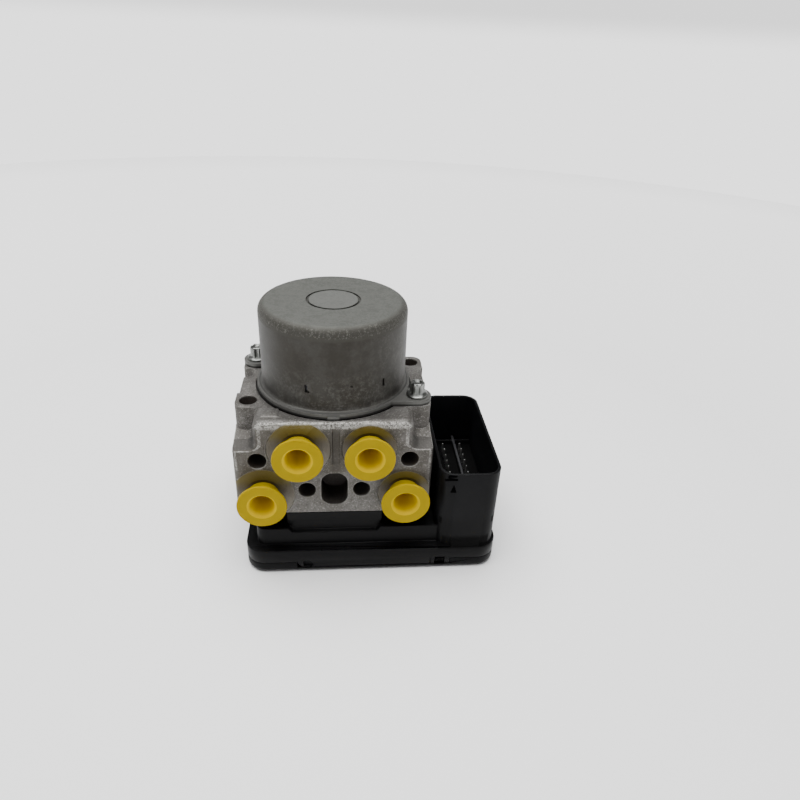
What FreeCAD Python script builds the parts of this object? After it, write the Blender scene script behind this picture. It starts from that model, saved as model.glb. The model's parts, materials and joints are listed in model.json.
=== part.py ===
import FreeCAD, Part
import math
import os

import Sketcher
from FreeCAD import Placement, Rotation, Vector

# Driving sizes in millimetres. Each name is a cell of the spreadsheet.
# The frame: origin on the motor's axis, on the plane of the controller cover's underside, +Z up,
# ports facing -Y, connector on the +X side.
SIZES = {
    # Motor can, pressed from sheet steel
    "can_radius": 36.0,
    "can_wall": 1.8,
    "can_height": 43.85,
    "can_top_round": 4.4,
    "can_foot_round": 1.8,
    "can_seat_radius": 12.05,
    "can_seat_groove_width": 1.1,
    "can_seat_groove_depth": 0.7,
    "bush_collar_wall": 1.5,
    "bush_collar_height": 4.0,
    "flange_width": 2.5,
    "flange_thick": 2.5,
    "ear_radius": 7.0,
    "vent_width": 1.3,
    "vent_height": 4.0,
    "vent_rise": 11.6,
    "vent_foot": 1.0,
    "dimple_radius": 0.6,
    "dimple_depth": 0.5,
    "dimple_rise": 15.4,
    "tab_left": 3.0,
    "tab_right": 2.6,
    "tab_reach": 1.0,
    "tab_thick": 1.6,
    # Motor fixing bolts
    "bolt_reach_x": 1.9,
    "bolt_y": 20.0,
    "bolt_radius": 2.9,
    "bolt_reach": 15.0,
    "bolt_washer_radius": 5.25,
    "bolt_washer_thick": 1.0,
    "bolt_head_radius": 3.9,
    "bolt_head_height": 6.0,
    "bolt_flute_radius": 0.8,
    "bolt_hole_clearance": 0.1,
    "bolt_ear_clearance": 0.4,
    # Motor inside: rotor, brushes, bearings and magnets
    "shaft_radius": 4.0,
    "shaft_top_gap": 0.6,
    "running_gap": 0.03,
    "bush_radius": 8.0,
    "bush_height": 5.0,
    "core_air_gap": 3.7,
    "core_base": 16.0,
    "core_height": 16.0,
    "core_slot_width": 4.0,
    "core_slot_inner": 9.0,
    "core_slot_rim": 2.5,
    "winding_overhang": 3.5,
    "winding_inset": 2.0,
    "winding_inner": 7.0,
    "winding_gap": 0.2,
    "commutator_radius": 8.0,
    "commutator_base": 4.5,
    "commutator_height": 7.5,
    "magnet_thick": 9.5,
    "magnet_base": 10.0,
    "magnet_height": 26.0,
    "magnet_half_angle": 62.0,
    "magnet_wall_gap": 0.05,
    "plate_thick": 2.5,
    "plate_wall_gap": 0.1,
    "plate_boss_depth": 9.0,
    "plate_boss_gap": 0.1,
    "holder_length": 13.0,
    "holder_width": 8.0,
    "holder_wall": 1.5,
    "holder_top": 11.5,
    "brush_gap": 0.15,
    "bearing_radius": 10.0,
    "bearing_height": 7.0,
    "oring_inset": 2.2,
    "oring_width": 1.8,
    "oring_depth": 1.2,
    # Eccentric at the shaft's lower end and its needle bearing
    "eccentric_throw": 1.0,
    "eccentric_radius": 5.5,
    "eccentric_bearing_radius": 9.0,
    "eccentric_bearing_height": 8.0,
    "shaft_foot": 4.0,
    # Valve block, forged and machined
    "block_half_width": 47.2,
    "block_half_depth": 41.8,
    "block_height": 52.0,
    "block_upper_height": 12.9,
    "neck_inset": 9.8,
    "ear_step": 14.9,
    "ear_length": 13.9,
    "lobe_inset": 1.2,
    "recess_inset": 5.7,
    "recess_front": 4.0,
    "ledge_fall": 2.4,
    "ledge_round": 4.0,
    "neck_edge_round": 4.0,
    "ear_corner_round": 5.0,
    "neck_corner_round": 4.5,
    "recess_corner_round": 2.0,
    "lower_corner_round": 2.5,
    "ear_hole_inset": 6.2,
    "ear_hole_y": 20.1,
    "ear_hole_radius": 4.2,
    "ear_hole_depth": 18.0,
    "mark_pad_height": 0.5,
    "mark_pad_width": 7.5,
    "mark_pad_length": 7.0,
    "mark_pad_inset": 2.0,
    "gap_ring_width": 0.7,
    "gap_ring_depth": 0.8,
    "groove_x": 1.0,
    "groove_half_width": 1.7,
    "groove_depth": 0.7,
    "groove_drop": 23.0,
    # Holes of the front face
    "fixing_inset": 11.2,
    "fixing_drop": 20.8,
    "fixing_radius": 4.35,
    "fixing_depth": 14.0,
    "small_hole_x": 13.2,
    "small_hole_drop": 38.1,
    "small_hole_radius": 4.2,
    "small_hole_depth": 12.0,
    "pocket_half_width": 6.35,
    "pocket_top_drop": 28.6,
    "pocket_bottom_drop": 47.2,
    "pocket_depth": 15.0,
    "pocket_corner": 5.2,
    # Pipe ports and their plugs
    "upper_port_x": 16.6,
    "upper_port_drop": 15.0,
    "lower_port_inset": 13.0,
    "lower_port_drop": 41.0,
    "port_radius": 6.0,
    "port_depth": 13.0,
    "seat_left_radius": 15.0,
    "seat_right_radius": 13.0,
    "seat_depth": 0.8,
    "plug_flange_radius": 11.5,
    "plug_flange_thick": 3.0,
    "plug_stand": 8.2,
    "plug_neck_radius": 7.7,
    "plug_mouth_radius": 6.4,
    "plug_wall": 1.0,
    "plug_stem": 10.0,
    "plug_gap": 0.1,
    "plug_edge_round": 0.6,
    # Pump: chamber, pistons, springs and screwed plugs
    "chamber_radius": 12.5,
    "chamber_depth": 32.0,
    "pump_drop": 21.0,
    "piston_radius": 4.0,
    "piston_head_radius": 6.0,
    "piston_head_thick": 2.5,
    "piston_gap": 0.1,
    "piston_tail": 2.0,
    "guide_length": 13.5,
    "pump_bore_radius": 7.0,
    "pump_plug_length": 9.0,
    "pump_plug_inset": 0.4,
    "pump_plug_socket": 3.0,
    "pump_plug_socket_depth": 4.0,
    "pump_spring_wire": 0.5,
    "pump_spring_radius": 4.6,
    "pump_spring_turns": 3.0,
    "spring_end_gap": 0.1,
    # Low-pressure reservoirs in the back face
    "reservoir_x": 20.0,
    "reservoir_drop": 38.0,
    "reservoir_radius": 10.5,
    "reservoir_bore_depth": 23.3,
    "reservoir_piston_length": 8.0,
    "reservoir_piston_wall": 1.6,
    "reservoir_floor": 2.5,
    "reservoir_gap": 0.05,
    "reservoir_start_gap": 0.2,
    "cap_radius": 11.4,
    "cap_thick": 3.2,
    "cap_inset": 0.6,
    "reservoir_spring_wire": 0.8,
    "reservoir_spring_radius": 6.4,
    "reservoir_spring_turns": 4.0,
    # Solenoid valves: cartridges, armatures and coils
    "valve_inner_x": 9.0,
    "valve_outer_x": 27.0,
    "valve_front_y": 19.0,
    "valve_back_y": 9.0,
    "valve_bore_radius": 6.0,
    "valve_bore_depth": 16.0,
    "valve_press_gap": 0.02,
    "valve_collar_height": 10.0,
    "valve_stem_radius": 4.0,
    "valve_seat_gap": 0.2,
    "valve_dome_radius": 3.4,
    "valve_dome_wall": 0.5,
    "valve_dome_length": 18.0,
    "valve_dome_floor": 0.8,
    "valve_core_gap": 0.4,
    "armature_gap": 0.04,
    "armature_length": 12.6,
    "armature_start_gap": 0.1,
    "needle_radius": 0.5,
    "needle_gap": 0.15,
    "needle_length": 18.0,
    "coil_gap": 0.2,
    "coil_radius": 8.3,
    "coil_height": 15.5,
    "coil_top_gap": 2.5,
    "coil_flange": 1.2,
    "coil_waist": 0.7,
    "coil_lead_radius": 0.5,
    "coil_lead_offset": 6.0,
    # Drillings that join ports, valves, pump and reservoirs
    "channel_radius": 1.75,
    # Motor terminals on their insulating stalk
    "stalk_inset": 10.2,
    "stalk_radius": 4.2,
    "stalk_gap": 0.2,
    "stalk_drop": 58.0,
    "terminal_spacing": 3.6,
    "terminal_radius": 0.9,
    # Controller housing
    "rim_step_left": 5.5,
    "rim_step_right": 1.6,
    "rim_step_front": 5.4,
    "rim_step_back": 5.0,
    "rim_corner": 10.0,
    "cover_height": 6.5,
    "cover_floor": 2.0,
    "cover_edge_round": 3.0,
    "shell_wall": 2.5,
    "rim_height": 7.5,
    "band_step": 0.5,
    "band_front_reach": 2.8,
    "band_back_inset": 1.8,
    "band_lap": 9.4,
    "band_corner": 5.0,
    "band_height": 10.0,
    "deck_thick": 3.0,
    "collar_inset_x": 8.7,
    "collar_inset_y": 4.8,
    "collar_height": 8.0,
    "collar_corner": 5.0,
    "collar_wall": 2.5,
    "screw_land_front": 8.2,
    "screw_land_back": 8.0,
    "boss_half_width": 23.6,
    "boss_corner_width": 2.0,
    "boss_corner_height": 4.0,
    "boss_drop": 10.0,
    "notch_half_width": 21.0,
    "notch_slope": 2.0,
    "notch_depth": 2.7,
    "seal_width": 1.2,
    "seal_depth": 1.0,
    "seal_inset": 0.65,
    # Connector shroud
    "shroud_gap": 3.4,
    "shroud_width": 30.8,
    "shroud_inset": 1.5,
    "shroud_back": 28.5,
    "shroud_top": 58.3,
    "shroud_wall": 1.5,
    "shroud_corner": 8.0,
    "shroud_foot": 1.4,
    "shroud_foot_height": 7.0,
    "connector_floor": 28.0,
    "connector_floor_thick": 2.0,
    "rib_place": 19.4,
    "rib_width": 1.2,
    "rib_height": 3.0,
    "cross_rib_y": 22.6,
    "pin_left_place": 11.8,
    "pin_right_place": 21.7,
    "pin_back_y": 14.5,
    "pin_pitch": 5.5,
    "pin_radius": 0.5,
    "pin_gap": 0.05,
    "pin_tip": 34.0,
    # Circuit board
    "board_thick": 1.6,
    "board_gap": 0.3,
    "board_ledge": 4.1,
    "chip_side": 18.0,
    "chip_thick": 1.5,
    # Screws that hold the controller to the block
    "screw_front_x": 22.0,
    "screw_inset_x": 5.7,
    "screw_inset_y": 4.0,
    "screw_radius": 2.0,
    "screw_gap": 0.1,
    "screw_reach": 8.0,
    "screw_head_radius": 3.5,
    "screw_head_height": 3.0,
    # Latch windows on the cover's front
    "latch_left_x": 13.3,
    "latch_place": 2.9,
    "latch_half_width": 2.5,
    "latch_low": 2.4,
    "latch_high": 7.5,
    "latch_depth": 1.2,
    "latch_bar": 0.5,
    # The housing's tongue that laps over the cover's front
    "tongue_left": 18.7,
    "tongue_reach": 8.2,
    "tongue_thick": 1.7,
    "tongue_low": 3.2,
    "tick_place": 2.0,
    "tick_width": 0.5,
    "tick_high": 7.4,
    "tick_depth": 0.5,
}
# Each vent's direction in degrees, and how far its foot reaches to the right
VENTS = ((-110.4, 1.0), (-49.9, 0.1))
DIMPLE_TURN = -77.0
PIN_ROWS = 6
CORE_SLOTS = 8
HEAD_FLUTES = 6

DOC = FreeCAD.newDocument("brake_module")


class Size:
    """A length that carries its number together with the spreadsheet formula that gives it."""

    def __init__(self, number, formula):
        self.number = number
        self.formula = formula

    def __add__(self, other):
        other = as_size(other)
        return Size(self.number + other.number, f"({self.formula} + {other.formula})")

    def __sub__(self, other):
        other = as_size(other)
        return Size(self.number - other.number, f"({self.formula} - {other.formula})")

    def __mul__(self, other):
        other = as_size(other)
        return Size(self.number * other.number, f"({self.formula} * {other.formula})")

    def __truediv__(self, other):
        other = as_size(other)
        return Size(self.number / other.number, f"({self.formula} / {other.formula})")

    def __neg__(self):
        return Size(-self.number, f"(0 - {self.formula})")

    def __radd__(self, other):
        return as_size(other) + self

    def __rsub__(self, other):
        return as_size(other) - self

    def __rmul__(self, other):
        return as_size(other) * self


def as_size(value):
    if isinstance(value, Size):
        return value
    return Size(float(value), f"{float(value):.9g}")


class Sizes:
    """The spreadsheet's cells, each read by its name."""

    def __init__(self, numbers):
        sheet = DOC.addObject("Spreadsheet::Sheet", "Sizes")
        for row, (name, number) in enumerate(numbers.items(), start=1):
            sheet.set(f"A{row}", name)
            sheet.set(f"B{row}", str(number))
            sheet.setAlias(f"B{row}", name)
            setattr(self, name, Size(number, f"Sizes.{name}"))


S = Sizes(SIZES)
DOC.recompute()

# Levels above the cover's underside
PARTING_Z = S.cover_height
RIM_TOP_Z = PARTING_Z + S.rim_height
DECK_Z = RIM_TOP_Z + S.band_height
BLOCK_Z = DECK_Z + S.collar_height
TOP_Z = BLOCK_Z + S.block_height
LEDGE_Z = TOP_Z - S.block_upper_height
CAN_TOP_Z = TOP_Z + S.can_height
PUMP_Z = TOP_Z - S.pump_drop
CAVITY_Z = DECK_Z - S.deck_thick
BOARD_TOP_Z = PARTING_Z + S.board_ledge
BLOCK_FRONT = S.block_half_depth
CAN_INNER = S.can_radius - S.can_wall
STEM_RADIUS = S.port_radius - S.plug_gap
# Places that follow the block, the can and the connector
NECK_X = S.block_half_width - S.neck_inset
LOBE_X = S.block_half_width - S.lobe_inset
RECESS_X = S.block_half_width - S.recess_inset
EAR_FRONT = S.block_half_depth - S.ear_step
EAR_BACK = EAR_FRONT - S.ear_length
EAR_HOLE_X = S.block_half_width - S.ear_hole_inset
FIXING_X = S.block_half_width - S.fixing_inset
LOWER_PORT_X = S.block_half_width - S.lower_port_inset
COLLAR_X = S.block_half_width - S.collar_inset_x
COLLAR_Y = S.block_half_depth - S.collar_inset_y
COLLAR_OPENING_X = COLLAR_X - S.collar_wall
COLLAR_OPENING_FRONT = COLLAR_Y - S.screw_land_front
COLLAR_OPENING_BACK = COLLAR_Y - S.screw_land_back
SCREW_BACK_X = COLLAR_X - S.screw_inset_x
SCREW_Y = COLLAR_Y - S.screw_inset_y
SHROUD_LEFT = S.block_half_width + S.shroud_gap
SHROUD_RIGHT = SHROUD_LEFT + S.shroud_width
BAND_LEFT = COLLAR_X + S.band_step
BAND_FRONT = S.block_half_depth + S.band_front_reach
BAND_BACK = S.block_half_depth - S.band_back_inset
BAND_RIGHT = SHROUD_LEFT + S.band_lap
RIM_LEFT = BAND_LEFT + S.rim_step_left
RIM_RIGHT = SHROUD_RIGHT + S.rim_step_right
RIM_FRONT = BAND_FRONT + S.rim_step_front
RIM_BACK = BAND_BACK + S.rim_step_back
SHROUD_FRONT = RIM_FRONT - S.shroud_inset
RIB_X = SHROUD_LEFT + S.rib_place
PIN_LEFT_X = SHROUD_LEFT + S.pin_left_place
PIN_RIGHT_X = SHROUD_LEFT + S.pin_right_place
TONGUE_RIGHT = SHROUD_LEFT + S.tongue_reach
TICK_X = SHROUD_LEFT - S.tick_place
LATCH_RIGHT_X = SHROUD_LEFT + S.latch_place
FLANGE_RADIUS = S.can_radius + S.flange_width
ORING_RADIUS = FLANGE_RADIUS - S.oring_inset
BOLT_X = FLANGE_RADIUS + S.bolt_reach_x
CORE_RADIUS = CAN_INNER - S.magnet_thick - S.core_air_gap
WINDING_RADIUS = CORE_RADIUS - S.winding_inset
CORE_SLOT_OUTER = CORE_RADIUS - S.core_slot_rim
STALK_Y = CAN_INNER - S.stalk_inset
CHANNEL_INNER_X = (S.upper_port_x + S.valve_inner_x) / 2
CHANNEL_OUTER_X = (LOWER_PORT_X + S.valve_outer_x) / 2


# Drawing helpers: a sketch, its closed outline and its circles, each bound to the sheet

def bind(thing, path, value):
    value = as_size(value)
    thing.setExpression(path, value.formula)


def new_body(label, at=(0, 0, 0), rotation=None):
    body = DOC.addObject("PartDesign::Body", label)
    body.Label = label
    numbers = [as_size(value).number for value in at]
    body.Placement = Placement(Vector(*numbers), rotation or Rotation())
    for axis, value in zip("xyz", at):
        if isinstance(value, Size):
            bind(body, f"Placement.Base.{axis}", value)
    return body


def new_sketch(body, role, offset=0):
    """A sketch on one of the body's own origin planes, moved along the plane's normal."""
    plane = [f for f in body.Origin.OriginFeatures if f.Role == role][0]
    sketch = body.newObject("Sketcher::SketchObject", "Sketch")
    sketch.AttachmentSupport = (plane, [""])
    sketch.MapMode = "FlatFace"
    offset = as_size(offset)
    sketch.AttachmentOffset = Placement(Vector(0, 0, offset.number), Rotation())
    bind(sketch, "AttachmentOffset.Base.z", offset)
    return sketch


def new_turned_sketch(body, azimuth, distance):
    """An upright sketch that faces away from the axis in the given direction."""
    sketch = new_sketch(body, "XZ_Plane")
    turn = Rotation(Vector(0, 1, 0), azimuth + 90)
    direction = turn.multVec(Vector(0, 0, 1))
    distance = as_size(distance)
    sketch.AttachmentOffset = Placement(direction * distance.number, turn)
    bind(sketch, "AttachmentOffset.Base.x", distance * direction.x)
    bind(sketch, "AttachmentOffset.Base.z", distance * direction.z)
    return sketch


def fix_point(sketch, rules, bound, geometry, point, x, y):
    """Rules that hold a point at x, y; bound collects the ones that follow the sheet."""
    for kind, axis, value in (("DistanceX", -2, x), ("DistanceY", -1, y)):
        value = as_size(value)
        if value.number == 0:
            rules.append(Sketcher.Constraint("PointOnObject", geometry, point, axis))
            continue
        bound.append((len(rules), value))
        rules.append(Sketcher.Constraint(kind, -1, 1, geometry, point, value.number))


def apply_rules(sketch, rules, bound):
    first = sketch.ConstraintCount
    sketch.addConstraint(rules)
    for index, value in bound:
        bind(sketch, f"Constraints[{first + index}]", value)


def outline(sketch, points):
    """A closed outline of straight lines through the given points."""
    first = sketch.GeometryCount
    numbers = [Vector(as_size(x).number, as_size(y).number, 0) for x, y in points]
    lines = [Part.LineSegment(a, b) for a, b in zip(numbers, numbers[1:] + numbers[:1])]
    sketch.addGeometry(lines, False)
    rules = []
    bound = []
    for index in range(len(points)):
        following = first + (index + 1) % len(points)
        rules.append(Sketcher.Constraint("Coincident", first + index, 2, following, 1))
    for index, (x, y) in enumerate(points):
        fix_point(sketch, rules, bound, first + index, 1, x, y)
    apply_rules(sketch, rules, bound)


def circle(sketch, x, y, radius):
    geometry = sketch.GeometryCount
    centre = Vector(as_size(x).number, as_size(y).number, 0)
    radius = as_size(radius)
    sketch.addGeometry([Part.Circle(centre, Vector(0, 0, 1), radius.number)], False)
    rules = []
    bound = []
    fix_point(sketch, rules, bound, geometry, 3, x, y)
    bound.append((len(rules), radius))
    rules.append(Sketcher.Constraint("Radius", geometry, radius.number))
    apply_rules(sketch, rules, bound)


def rectangle(sketch, x_low, x_high, y_low, y_high):
    outline(sketch, [(x_low, y_low), (x_high, y_low), (x_high, y_high), (x_low, y_high)])


def rounded_rectangle(sketch, x_low, x_high, y_low, y_high, radius):
    """A rectangle whose corners are arcs, tangent to the straight sides."""
    first = sketch.GeometryCount
    radius = as_size(radius)
    centres = [
        (x_high - radius, y_low + radius),
        (x_high - radius, y_high - radius),
        (x_low + radius, y_high - radius),
        (x_low + radius, y_low + radius),
    ]
    arcs = []
    for index, (x, y) in enumerate(centres):
        ring = Part.Circle(Vector(x.number, y.number, 0), Vector(0, 0, 1), radius.number)
        start = (index - 1) * math.pi / 2
        arcs.append(Part.ArcOfCircle(ring, start, start + math.pi / 2))
    sides = [
        Part.LineSegment(before.EndPoint, after.StartPoint)
        for before, after in zip(arcs, arcs[1:] + arcs[:1])
    ]
    sketch.addGeometry(arcs + sides, False)
    rules = []
    bound = []
    for index in range(4):
        side = first + 4 + index
        following = first + (index + 1) % 4
        rules.append(Sketcher.Constraint("Tangent", first + index, 2, side, 1))
        rules.append(Sketcher.Constraint("Tangent", side, 2, following, 1))
    for index, (x, y) in enumerate(centres):
        fix_point(sketch, rules, bound, first + index, 3, x, y)
        bound.append((len(rules), radius))
        rules.append(Sketcher.Constraint("Radius", first + index, radius.number))
    apply_rules(sketch, rules, bound)


def extrude(body, kind, sketch, length, reverse=False):
    """A Pad or a Pocket of the sketch."""
    feature = body.newObject(f"PartDesign::{kind}", kind)
    feature.Profile = sketch
    feature.Length = as_size(length).number
    bind(feature, "Length", length)
    feature.Reversed = reverse
    return feature


def cut(body, sketch, length, reverse=False):
    """A Pocket, which check() later finds to have taken material away."""
    return extrude(body, "Pocket", sketch, length, reverse)


def revolve(body, sketch, axis="V_Axis"):
    feature = body.newObject("PartDesign::Revolution", "Revolution")
    feature.Profile = sketch
    feature.ReferenceAxis = (sketch, [axis])
    feature.Angle = 360
    return feature


def edge_names(shape, test):
    """Names of the edges whose middle point and end points pass the test."""
    names = []
    for index, edge in enumerate(shape.Edges, start=1):
        middle = edge.valueAt((edge.FirstParameter + edge.LastParameter) / 2)
        ends = [vertex.Point for vertex in edge.Vertexes]
        if test(edge, middle, ends):
            names.append(f"Edge{index}")
    return names


def round_edges(body, radius, test):
    DOC.recompute()
    base = body.Tip
    names = edge_names(base.Shape, test)
    if not names:
        raise ValueError(f"no edge of {body.Label} to round")
    fillet = body.newObject("PartDesign::Fillet", "Fillet")
    fillet.Base = (base, names)
    fillet.Radius = as_size(radius).number
    bind(fillet, "Radius", radius)
    DOC.recompute()
    if fillet.Shape.isNull():
        raise ValueError(f"an edge of {body.Label} can't be rounded by {radius.formula}")
    return fillet


def near(a, b, within=0.01):
    return abs(a - b) < within


def upright(edge, ends):
    """True for a straight edge along Z."""
    return len(ends) == 2 and near(ends[0].x, ends[1].x) and near(ends[0].y, ends[1].y)


def turned(label, profile, at=(0, 0, 0), rotation=None):
    """A turned piece: its half section, as radius and height, spun about its own Z axis."""
    body = new_body(label, at, rotation)
    sketch = new_sketch(body, "XZ_Plane")
    outline(sketch, profile)
    revolve(body, sketch)
    return body


def primitive(kind, sizes, at=(0, 0, 0), rotation=None):
    """A Part primitive with its sizes and its place bound to the sheet."""
    thing = DOC.addObject(f"Part::{kind}", kind)
    for name, value in sizes.items():
        setattr(thing, name, as_size(value).number)
        bind(thing, name, value)
    numbers = [as_size(value).number for value in at]
    thing.Placement = Placement(Vector(*numbers), rotation or Rotation())
    for axis, value in zip("xyz", at):
        bind(thing, f"Placement.Base.{axis}", value)
    return thing


def rod(radius, height, at=(0, 0, 0), rotation=None):
    return primitive("Cylinder", {"Radius": radius, "Height": height}, at, rotation)


def block_between(x_low, x_high, y_low, y_high, z_low, z_high):
    x_low, y_low, z_low = as_size(x_low), as_size(y_low), as_size(z_low)
    sizes = {"Length": x_high - x_low, "Width": y_high - y_low, "Height": z_high - z_low}
    return primitive("Box", sizes, (x_low, y_low, z_low))


def joined(label, pieces):
    thing = DOC.addObject("Part::MultiFuse", label)
    thing.Label = label
    thing.Shapes = pieces
    return thing


def less(label, base, tools):
    """The base with the tools cut out of it."""
    tool = tools[0]
    if len(tools) > 1:
        tool = DOC.addObject("Part::MultiFuse", "Tools")
        tool.Shapes = tools
    thing = DOC.addObject("Part::Cut", label)
    thing.Label = label
    thing.Base = base
    thing.Tool = tool
    return thing


def group(label, pieces):
    """Separate solids that share one node."""
    thing = DOC.addObject("Part::Compound", label)
    thing.Label = label
    thing.Links = pieces
    return thing


ALONG_X = Rotation(Vector(0, 1, 0), 90)
AGAINST_X = Rotation(Vector(0, 1, 0), -90)
TO_FRONT = Rotation(Vector(1, 0, 0), 90)
TO_BACK = Rotation(Vector(1, 0, 0), -90)


# The motor's steel can with its two fixing ears

def motor_can():
    body = new_body("motor_can", (0, 0, TOP_Z))
    top = S.can_height
    inner_top = S.can_height - S.can_wall
    collar_low = inner_top - S.bush_collar_height
    collar_outer = S.bush_radius + S.bush_collar_wall
    groove_outer = S.can_seat_radius + S.can_seat_groove_width
    groove_floor = top - S.can_seat_groove_depth
    ears = new_sketch(body, "XY_Plane")
    for side in (1, -1):
        neck = [
            (side * BOLT_X / 2, -side * (S.bolt_y + S.ear_radius)),
            (side * BOLT_X, -side * (S.bolt_y + S.ear_radius)),
            (side * BOLT_X, -side * (S.bolt_y - S.ear_radius)),
            (side * BOLT_X / 2, -side * (S.bolt_y - S.ear_radius)),
        ]
        outline(ears, neck)
    extrude(body, "Pad", ears, S.flange_thick)
    lobes = new_sketch(body, "XY_Plane")
    for side in (1, -1):
        circle(lobes, side * BOLT_X, -side * S.bolt_y, S.ear_radius)
    extrude(body, "Pad", lobes, S.flange_thick)
    tab = new_sketch(body, "XY_Plane")
    reach = FLANGE_RADIUS + S.tab_reach
    rectangle(tab, -S.tab_left, S.tab_right, -reach, -S.can_radius)
    extrude(body, "Pad", tab, S.tab_thick)
    shell = new_sketch(body, "XZ_Plane")
    outline(shell, [
        (0, inner_top),
        (S.bush_radius, inner_top),
        (S.bush_radius, collar_low),
        (collar_outer, collar_low),
        (collar_outer, inner_top),
        (CAN_INNER, inner_top),
        (CAN_INNER, 0),
        (FLANGE_RADIUS, 0),
        (FLANGE_RADIUS, S.flange_thick),
        (S.can_radius, S.flange_thick),
        (S.can_radius, top),
        (groove_outer, top),
        (groove_outer, groove_floor),
        (S.can_seat_radius, groove_floor),
        (S.can_seat_radius, top),
        (0, top),
    ])
    revolve(body, shell)
    hollow = new_sketch(body, "XY_Plane")
    circle(hollow, 0, 0, CAN_INNER)
    cut(body, hollow, S.flange_thick, True)
    holes = new_sketch(body, "XY_Plane")
    for side in (1, -1):
        circle(holes, side * BOLT_X, -side * S.bolt_y, S.bolt_radius + S.bolt_ear_clearance)
    cut(body, holes, S.flange_thick, True)
    can_radius = S.can_radius.number

    def on_circle(edge, height):
        return (
            isinstance(edge.Curve, Part.Circle)
            and near(edge.Curve.Radius, can_radius)
            and near(edge.Curve.Center.z, height)
        )

    round_edges(body, S.can_top_round, lambda e, middle, ends: on_circle(e, top.number))
    foot = S.flange_thick.number
    round_edges(body, S.can_foot_round, lambda e, middle, ends: on_circle(e, foot))
    for turn, foot in VENTS:
        vent = new_turned_sketch(body, turn, S.can_radius)
        half = S.vent_width / 2
        low = S.vent_rise
        high = S.vent_rise + S.vent_height
        outline(vent, [
            (-half, low),
            (half + S.vent_foot * foot, low),
            (half + S.vent_foot * foot, low + S.vent_foot * 0.8),
            (half, low + S.vent_foot),
            (half, high),
            (-half, high),
        ])
        cut(body, vent, S.can_wall * 2)
    dimple = new_turned_sketch(body, DIMPLE_TURN, S.can_radius)
    circle(dimple, 0, S.dimple_rise, S.dimple_radius)
    cut(body, dimple, S.dimple_depth)
    return body


# Field magnets: two curved blocks bonded to the can's wall

def field_magnets():
    outer = CAN_INNER - S.magnet_wall_gap
    pieces = []
    for turn in (90.0, 270.0):
        arc = {"Radius": outer, "Height": S.magnet_height}
        sector = primitive("Cylinder", arc, (0, 0, TOP_Z + S.magnet_base))
        sector.Angle = 2 * S.magnet_half_angle.number
        bind(sector, "Angle", 2 * S.magnet_half_angle)
        sector.Placement.Rotation = Rotation(Vector(0, 0, 1), turn - S.magnet_half_angle.number)
        core = rod(outer - S.magnet_thick, S.magnet_height, (0, 0, TOP_Z + S.magnet_base))
        pieces.append(less("magnet", sector, [core]))
    return group("field_magnets", pieces)


# The rotor: shaft with eccentric, slotted core, windings and commutator

def rotor_shaft():
    foot_z = PUMP_Z - S.eccentric_bearing_height / 2 - S.shaft_foot
    ring_z = PUMP_Z - S.eccentric_bearing_height / 2
    top_z = CAN_TOP_Z - S.can_wall - S.shaft_top_gap
    spindle = rod(S.shaft_radius, top_z - ring_z, (0, 0, ring_z))
    foot = rod(S.shaft_radius * 0.75, S.shaft_foot, (0, 0, foot_z))
    lobe = rod(S.eccentric_radius, S.eccentric_bearing_height, (S.eccentric_throw, 0, ring_z))
    return joined("rotor_shaft", [spindle, foot, lobe])


def eccentric_bearing():
    ring_z = PUMP_Z - S.eccentric_bearing_height / 2
    inner = S.eccentric_radius + S.running_gap
    outer = S.eccentric_bearing_radius
    height = S.eccentric_bearing_height
    return turned("eccentric_bearing", [
        (inner, 0),
        (outer - 0.5, 0),
        (outer, 0.5),
        (outer, height - 0.5),
        (outer - 0.5, height),
        (inner, height),
    ], (S.eccentric_throw, 0, ring_z))


def slot_bars(width, low, height, inner, outer):
    """Straight bars that stand around the axis, one for each slot of the core."""
    bars = []
    for index in range(CORE_SLOTS):
        turn = Rotation(Vector(0, 0, 1), 360.0 * index / CORE_SLOTS)
        sizes = {"Length": outer - inner, "Width": width, "Height": height}
        bar = primitive("Box", sizes, (0, 0, low))
        start = turn.multVec(Vector(inner.number, -width.number / 2, 0))
        bar.Placement = Placement(start + Vector(0, 0, low.number), turn)
        angle = math.radians(360.0 * index / CORE_SLOTS)
        bind(bar, "Placement.Base.x", inner * math.cos(angle) + width * (math.sin(angle) / 2))
        bind(bar, "Placement.Base.y", inner * math.sin(angle) - width * (math.cos(angle) / 2))
        bars.append(bar)
    return bars


def rotor_core():
    low = TOP_Z + S.core_base
    disc = rod(CORE_RADIUS, S.core_height, (0, 0, low))
    bore = rod(S.shaft_radius, S.core_height, (0, 0, low))
    slots = slot_bars(
        S.core_slot_width, low, S.core_height, S.core_slot_inner, CORE_SLOT_OUTER
    )
    return less("rotor_core", disc, [bore] + slots)


def windings():
    low = TOP_Z + S.core_base
    width = S.core_slot_width - S.winding_gap
    inner = S.core_slot_inner + S.winding_gap / 2
    outer = CORE_SLOT_OUTER - S.winding_gap / 2
    bars = slot_bars(width, low, S.core_height, inner, outer)
    rings = []
    for base in (low - S.winding_overhang, low + S.core_height):
        disc = rod(WINDING_RADIUS, S.winding_overhang, (0, 0, base))
        hole = rod(S.winding_inner, S.winding_overhang, (0, 0, base))
        rings.append(less("end_turns", disc, [hole]))
    return joined("windings", rings + bars)


def commutator():
    return turned("commutator", [
        (S.shaft_radius, 0),
        (S.commutator_radius, 0),
        (S.commutator_radius, S.commutator_height),
        (S.shaft_radius, S.commutator_height),
    ], (0, 0, TOP_Z + S.commutator_base))


# Bearings of the shaft

def top_bush():
    low = S.bush_height
    return turned("top_bush", [
        (S.shaft_radius + S.running_gap, 0),
        (S.bush_radius, 0),
        (S.bush_radius, low),
        (S.shaft_radius + S.running_gap, low),
    ], (0, 0, CAN_TOP_Z - S.can_wall - S.bush_height))


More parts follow.
